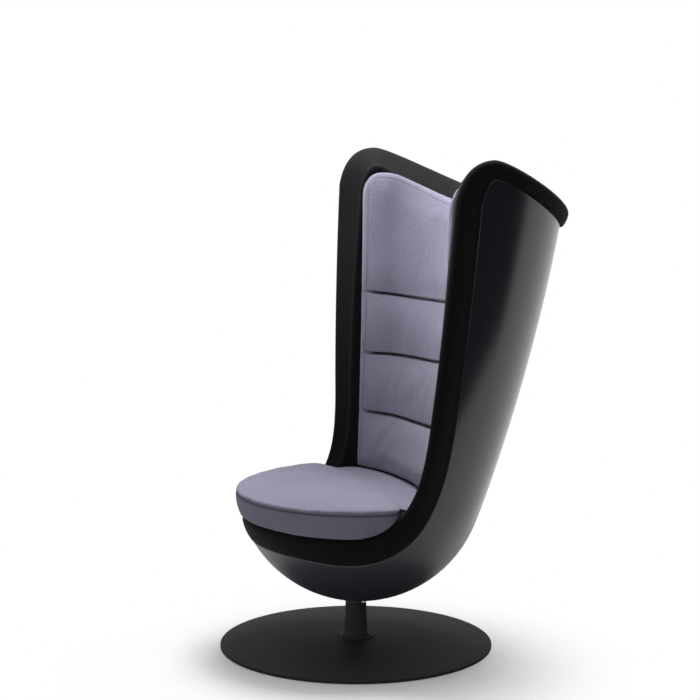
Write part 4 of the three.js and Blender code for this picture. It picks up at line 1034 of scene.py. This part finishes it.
rim_rise = rim_side()
rim_rise = rim_rise[rim_rise[:, 1] < 0.62]
seat_ring = seat_outline(360)
seat_rows = [
    (0.30, 0.0, 0), (0.62, 0.0, 0), (0.84, 0.0, 0), (0.905, 0.012, 0), (0.928, 0.05, 0),
    (0.942, 0.12, 0), (0.952, 0.24, 0), (0.961, 0.38, 0), (0.970, 0.52, 0), (0.979, 0.66, 0),
    (0.986, 0.76, 0), (0.990, 0.84, 0), (0.994, 0.89, 0), (0.997, 0.94, 0), (0.996, 0.98, 0),
    (0.988, 1.0, 0.06), (0.972, 1.0, 0.16), (0.94, 1.0, 0.3), (0.86, 1.0, 0.5),
    (0.74, 1.0, 0.7), (0.56, 1.0, 0.86), (0.3, 1.0, 0.97),
]
seat_crown, rear_drop = 0.004, 0.010
over_lip, well_cover, well_edge = 0.0045, 0.3515, 0.2825


def seat_place(share, up, crown):
    """A ring of the cushion; where it hangs over the rim, its underside rests on the cloth."""
    flat = seat_centre + (seat_ring - seat_centre) * share
    x, y = flat.T
    height = np.full(len(flat), seat_bottom + seat_height * up + seat_crown * crown)
    height -= rear_drop * ease(y, 0.006, 0.04) * max(up * 10 - 9, 0)
    over_rim = (np.hypot(x, y - bowl_setback) > well_radius - 0.004) & (y < 0.06)
    lift = np.interp(y, rim_rise[:, 0], rim_rise[:, 1]) + over_lip
    lift = np.where(np.abs(x) < well_edge, np.minimum(lift, well_cover), lift)
    lifted = np.maximum(height, np.minimum(lift, seat_edge_top - 0.012))
    return np.stack([x, y, np.where(over_rim, lifted, height)], axis=1)


seat_loops = np.array([seat_place(*row) for row in seat_rows])
seat_ends = [(0, seat_centre[1], seat_bottom), (0, seat_centre[1], seat_edge_top + seat_crown)]
lavender = cloth("lavender_wool", (106, 102, 119), (153, 148, 168), 0.12)
seat_cushion = part("seat_pad", *skin(seat_loops, seat_ends), lavender, "seat", "lavender_fabric")
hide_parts("seat_cushion")


def normals_of(piece):
    return np.array([tuple(vertex.normal) for vertex in piece.data.vertices])


def put_points(piece, points):
    piece.data.vertices.foreach_set("co", np.asarray(points).ravel())
    piece.data.update()


def evened(piece, values, rounds):
    """Averages values over neighbouring points of a mesh, some rounds over."""
    ends = np.empty(len(piece.data.edges) * 2, np.int32)
    piece.data.edges.foreach_get("vertices", ends)
    a, b = ends.reshape(-1, 2).T
    count = len(values)
    degree = np.bincount(a, minlength=count) + np.bincount(b, minlength=count)
    for _ in range(rounds):
        near = [np.bincount(a, v[b], count) + np.bincount(b, v[a], count) for v in values.T]
        values = 0.5 * values + 0.5 * np.stack(near, axis=1) / degree[:, None]
    return values


def remeshed(piece, rounds, voxel=0.0055):
    """Gives a piece an even net of faces and evens its points out."""
    grid = piece.modifiers.new("cut", "REMESH")
    grid.mode = "VOXEL"
    grid.voxel_size = voxel
    grid.use_smooth_shade = True
    settle(piece, grid)
    put_points(piece, evened(piece, points_of(piece), rounds))


def inflated(piece, held, cap, calm):
    """Lets the cover swell over its filling, held where it is sewn or rests, by a cap at most."""
    start = points_of(piece)
    pins = piece.vertex_groups.new(name="held")
    for index, weight in enumerate(held):
        if weight > 0:
            pins.add([index], float(weight), "REPLACE")
    bag = piece.modifiers.new("swell", "CLOTH")
    cover = bag.settings
    cover.use_pressure = True
    cover.uniform_pressure_force = 4.0
    cover.vertex_group_mass = "held"
    cover.effector_weights.gravity = 0
    cover.quality = 5
    cover.tension_stiffness = 12
    cover.compression_stiffness = 12
    cover.bending_stiffness = 0.6
    cover.shrink_min = -0.015
    bag.collision_settings.use_collision = False
    bag.point_cache.frame_start = 1
    bag.point_cache.frame_end = 20
    for step in range(1, 21):
        bpy.context.scene.frame_set(step)
    shape = piece.evaluated_get(bpy.context.evaluated_depsgraph_get())
    swollen = np.empty(len(start) * 3)
    shape.data.vertices.foreach_get("co", swollen)
    moved = swollen.reshape(-1, 3) - start
    length = np.linalg.norm(moved, axis=1)[:, None]
    piece.modifiers.remove(bag)
    piece.vertex_groups.clear()
    bpy.context.scene.frame_set(1)
    moved = evened(piece, moved * np.minimum(1, cap / np.maximum(length, 1e-9)), calm)
    put_points(piece, start + moved)


def refined(piece):
    finer = piece.modifiers.new("finer", "SUBSURF")
    finer.levels = 1
    finer.render_levels = 1
    settle(piece, finer)


remeshed(seat_cushion, 1)
now, normals = points_of(seat_cushion), normals_of(seat_cushion)
resting = (normals[:, 2] < -0.3) | (now[:, 1] > 0.09) & (now[:, 2] < seat_edge_top - 0.03)
sewn = (np.abs(now[:, 2] - seat_seam) < 0.004) & (np.abs(normals[:, 2]) < 0.6)
inflated(seat_cushion, np.where(resting, 1.0, np.where(sewn, 0.8, 0.0)), 0.004, 10)
refined(seat_cushion)

now, normals = points_of(seat_cushion), normals_of(seat_cushion)
from_seam = now[:, 2] - seat_seam
side_share = np.clip(1.2 - np.abs(normals[:, 2]) * 1.6, 0, 1)
groove_depth, groove_width = 0.0034, 0.0034
pull_depth, pull_width = 0.0003, 0.014
groove = groove_depth * bell(from_seam, groove_width) * side_share
turn = np.arctan2(now[:, 1] - seat_centre[1], now[:, 0])
ripple = np.sin(turn * 46 + 3 * np.sin(turn * 7))
pull = pull_depth * (bell(from_seam, pull_width) * side_share) * ripple
put_points(seat_cushion, now - normals * (groove + pull)[:, None])


def mark_seam_shade(piece, values):
    """Writes painted shade for each point by how deep in a seam it lies, which darkens the cloth
    there.
    """
    layer = piece.data.attributes.new("sewn", "FLOAT", "POINT")
    layer.data.foreach_set("value", np.asarray(values, np.float32))


# Painted shade in the seat seam's groove.
mark_seam_shade(seat_cushion, 0.75 * bell(from_seam, 0.0021) * side_share)


def laid_on(piece, starts, aims, lift=0.0002):
    """Where rays from points towards other points first meet a piece, lifted off it a little."""
    faces = [tuple(face.vertices) for face in piece.data.polygons]
    tree = BVHTree.FromPolygons([tuple(p) for p in points_of(piece)], faces)
    found = []
    for start, aim in zip(starts, aims):
        hit, normal, _, _ = tree.ray_cast(Vector(start), Vector(aim) - Vector(start))
        if hit is not None:
            found.append(hit + normal * lift)
    return found


lavender_thread = thread_finish("lavender_thread", (96, 92, 110), (132, 128, 148))
seam_ring = seat_ring[seat_ring[:, 1] < 0.005]
seam_ring = seam_ring[np.argsort(np.arctan2(seam_ring[:, 0], -seam_ring[:, 1]))]
stitch_height = seat_seam - 0.005
outside = np.full((len(seam_ring), 3), stitch_height)
outside[:, :2] = seat_centre + (seam_ring - seat_centre) * 1.15
inside = [(0, seat_centre[1], stitch_height)] * len(outside)
seam_line = laid_on(seat_cushion, outside, inside)
stitched("seat_stitches", [seam_line], lavender_thread)

# Back cushion: a curved pad in the same lavender wool, sewn across into four panels. It lines
# the back from wing to wing, with a narrow gusset round its edge and round top corners.
back_bottom = seat_edge_top - 0.004
back_start = seat_edge_top + 0.0073
back_span = wing_top - 0.060 - back_start
back_thickness = 0.0265
edge_turn = 1.3
seams = [back_start + share * back_span for share in (0.1745, 0.3771, 0.5887)]
rim_high = rim_side()
rim_high = rim_high[(rim_high[:, 1] > (wing_top + bowl_centre) / 2) & (rim_high[:, 0] > 0.10)]
middle_drop, wing_drop, corner_drop, corner_from = 0.047, 0.045, 0.034, 0.91


def back_place(turn, height, offset):
    half_width, depth, centre = back_section(height, offset)
    return np.stack([half_width * np.sin(turn), centre + depth * np.cos(turn), height], axis=-1)


def back_top(turn):
    """The cushion's top, below the rim: lower in the middle, with a round corner at each wing."""
    share = np.abs(turn) / edge_turn
    drop = wing_drop + middle_drop * (1 - share ** 2.2)
    height = np.full_like(turn, wing_top)
    for _ in range(14):
        y = back_place(turn, height, 0.0)[:, 1]
        height = (height + np.interp(y, rim_high[:, 0], rim_high[:, 1]) - drop) / 2
    bend = np.clip((share - corner_from) / (1 - corner_from), 0, 1)
    return height - corner_drop * (1 - np.sqrt(1 - bend ** 2))


pad_columns = pad_rows = 150
pad_turns = edge_turn * np.sin(np.linspace(-1, 1, pad_columns) * math.pi / 2)
pad_tops = back_top(pad_turns)


def panel_puff(height, top):
    """How full a panel is at a height: 0 on the sewn lines, 1 at the middle of a panel."""
    puff = np.zeros_like(height)
    for low, high in zip([back_bottom, *seams], [*seams, top]):
        share = np.clip((height - low) / np.maximum(high - low, 1e-6), 0, 1)
        within = (height >= low) & (height <= high)
        puff = np.maximum(puff, np.where(within, np.sin(share * math.pi), 0))
    return puff


panel_bulge, side_thin, top_thin = 0.009, 0.010, 0.007
pad_heights = back_bottom + (pad_tops - back_bottom) * np.linspace(0, 1, pad_rows)[:, None]
grid_turns = np.broadcast_to(pad_turns, pad_heights.shape)
side_fade = 1 - np.abs(np.linspace(-1, 1, pad_columns)) ** 8
bulge = panel_bulge * np.sqrt(panel_puff(pad_heights, pad_tops)) * side_fade
thin = side_thin * ease(np.abs(grid_turns), 1.05, edge_turn)
thin = thin + top_thin * ease(pad_heights - pad_tops, -0.022, 0.0)
front_face = back_place(grid_turns, pad_heights, thin - bulge)
rear_face = back_place(grid_turns, pad_heights, np.full_like(pad_heights, back_thickness))
behind = pad_columns * pad_rows
corner = np.arange(behind).reshape(pad_rows, pad_columns)
cells = np.stack([corner[:-1, :-1], corner[:-1, 1:], corner[1:, 1:], corner[1:, :-1]], axis=-1)
cells = cells.reshape(-1, 4)
border = np.concatenate([corner[0], corner[1:, -1], corner[-1, -2::-1], corner[-2:0:-1, 0]])
after = np.roll(border, -1)
wall_cells = np.stack([border, behind + border, behind + after, after], axis=1)
pad_faces = np.concatenate([cells, behind + cells[:, ::-1], wall_cells]).tolist()
pad_points = np.concatenate([front_face.reshape(-1, 3), rear_face.reshape(-1, 3)])
back_cushion = part("back_pad", pad_points, pad_faces, lavender, "seat", "lavender_fabric")
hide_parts("back_cushion")
remeshed(back_cushion, 5)


def pad_fit(points):
    """The points' turn round the pad, their depth behind its face and its top's height there."""
    height = np.clip(points[:, 2], back_bottom, None)
    half_width, depth, centre = back_section(height, 0.0)
    x, y = points[:, 0] / half_width, (points[:, 1] - centre) / depth
    turn = np.arctan2(x, y)
    gap = np.linalg.norm((points - back_place(turn, height, 0.0))[:, :2], axis=1)
    return turn, np.where(np.hypot(x, y) < 1, -gap, gap), np.interp(turn, pad_turns, pad_tops)


now = points_of(back_cushion)
_, behind_face, _ = pad_fit(now)
sewn = np.min([np.abs(now[:, 2] - seam) for seam in seams], axis=0) < 0.004
inflated(back_cushion, np.where((behind_face > 0.012) | sewn, 1.0, 0.0), 0.008, 18)
refined(back_cushion)

# Each seam draws the cover in and lets the panel above hang over it a little; the seams bow
# towards the wings and are shallower there, and painted shade darkens their creases.
# A finer groove with painted shade marks the gusset's seam.
now, normals = points_of(back_cushion), normals_of(back_cushion)
turn, behind_face, top = pad_fit(now)
front_share = ease(-behind_face, -0.012, 0.0)
crease, overhang, seam_shade, pull = np.zeros((4, len(now)))
run = turn * 0.30
spread = np.clip(np.abs(turn) / edge_turn, 0, 1)
deep = 0.3 + 0.7 * ease(-np.abs(turn), -1.24, -1.12)
side_rises, middle_sags, seam_sway = (0.007, 0.002, 0.0), (0.0, 0.0, 0.011), 0.0012
crease_depth, crease_width, seam_shade_width = 0.0165, 0.0038, 0.003
lip_depth, lip_above, lip_width = 0.0045, 0.011, 0.007
pucker_depth, pucker_above, pucker_width = 0.00025, 0.004, 0.016
for k, seam in enumerate(seams):
    line = seam + side_rises[k] * spread ** 4 - middle_sags[k] * (1 - spread ** 2)
    offset = now[:, 2] - line - seam_sway * np.sin(run * 21 + k)
    crease += crease_depth * deep * bell(offset, crease_width)
    # Painted shade in the crease.
    seam_shade += deep ** 2 * bell(offset - 0.0005, seam_shade_width)
    overhang += lip_depth * deep * bell(offset - lip_above, lip_width)
    ripple = np.sin(run * 150 + 4 * np.sin(run * 23 + k * 2)) + 0.6 * np.sin(run * 97 + k)
    pull += pucker_depth * ripple * bell(offset - pucker_above, pucker_width)
turn_radius, gusset_width, gusset_depth = 0.27, 0.014, 0.0009
edge_distance = np.minimum((edge_turn - np.abs(turn)) * turn_radius, top - now[:, 2])
gusset = gusset_depth * bell(edge_distance - gusset_width, 0.0022)
depth_in = (crease + pull + gusset) * front_share
now[:, 2] -= overhang * front_share
put_points(back_cushion, now - normals * depth_in[:, None])
# Painted shade along the gusset's seam.
seam_shade += 0.3 * bell(edge_distance - gusset_width, 0.0018)
mark_seam_shade(back_cushion, np.clip(seam_shade, 0, 1) * front_share)

stitch_in = 0.020
gusset_turn = edge_turn - stitch_in / turn_radius
side_top = float(np.interp(gusset_turn, pad_turns, pad_tops)) - stitch_in
side_heights = np.linspace(back_bottom + 0.03, side_top, 90)
top_turns = np.linspace(-gusset_turn, gusset_turn, 160)[3:-3]
top_heights = np.interp(top_turns, pad_turns, pad_tops) - stitch_in
side_turns = np.full(len(side_heights), gusset_turn)
gusset_turns = np.concatenate([-side_turns, top_turns, side_turns])
gusset_heights = np.concatenate([side_heights, top_heights, side_heights[::-1]])
in_front, within = (back_place(gusset_turns, gusset_heights, offset) for offset in (-0.05, 0.01))
gusset_line = laid_on(back_cushion, in_front, within)
stitched("back_stitches", [gusset_line], lavender_thread)
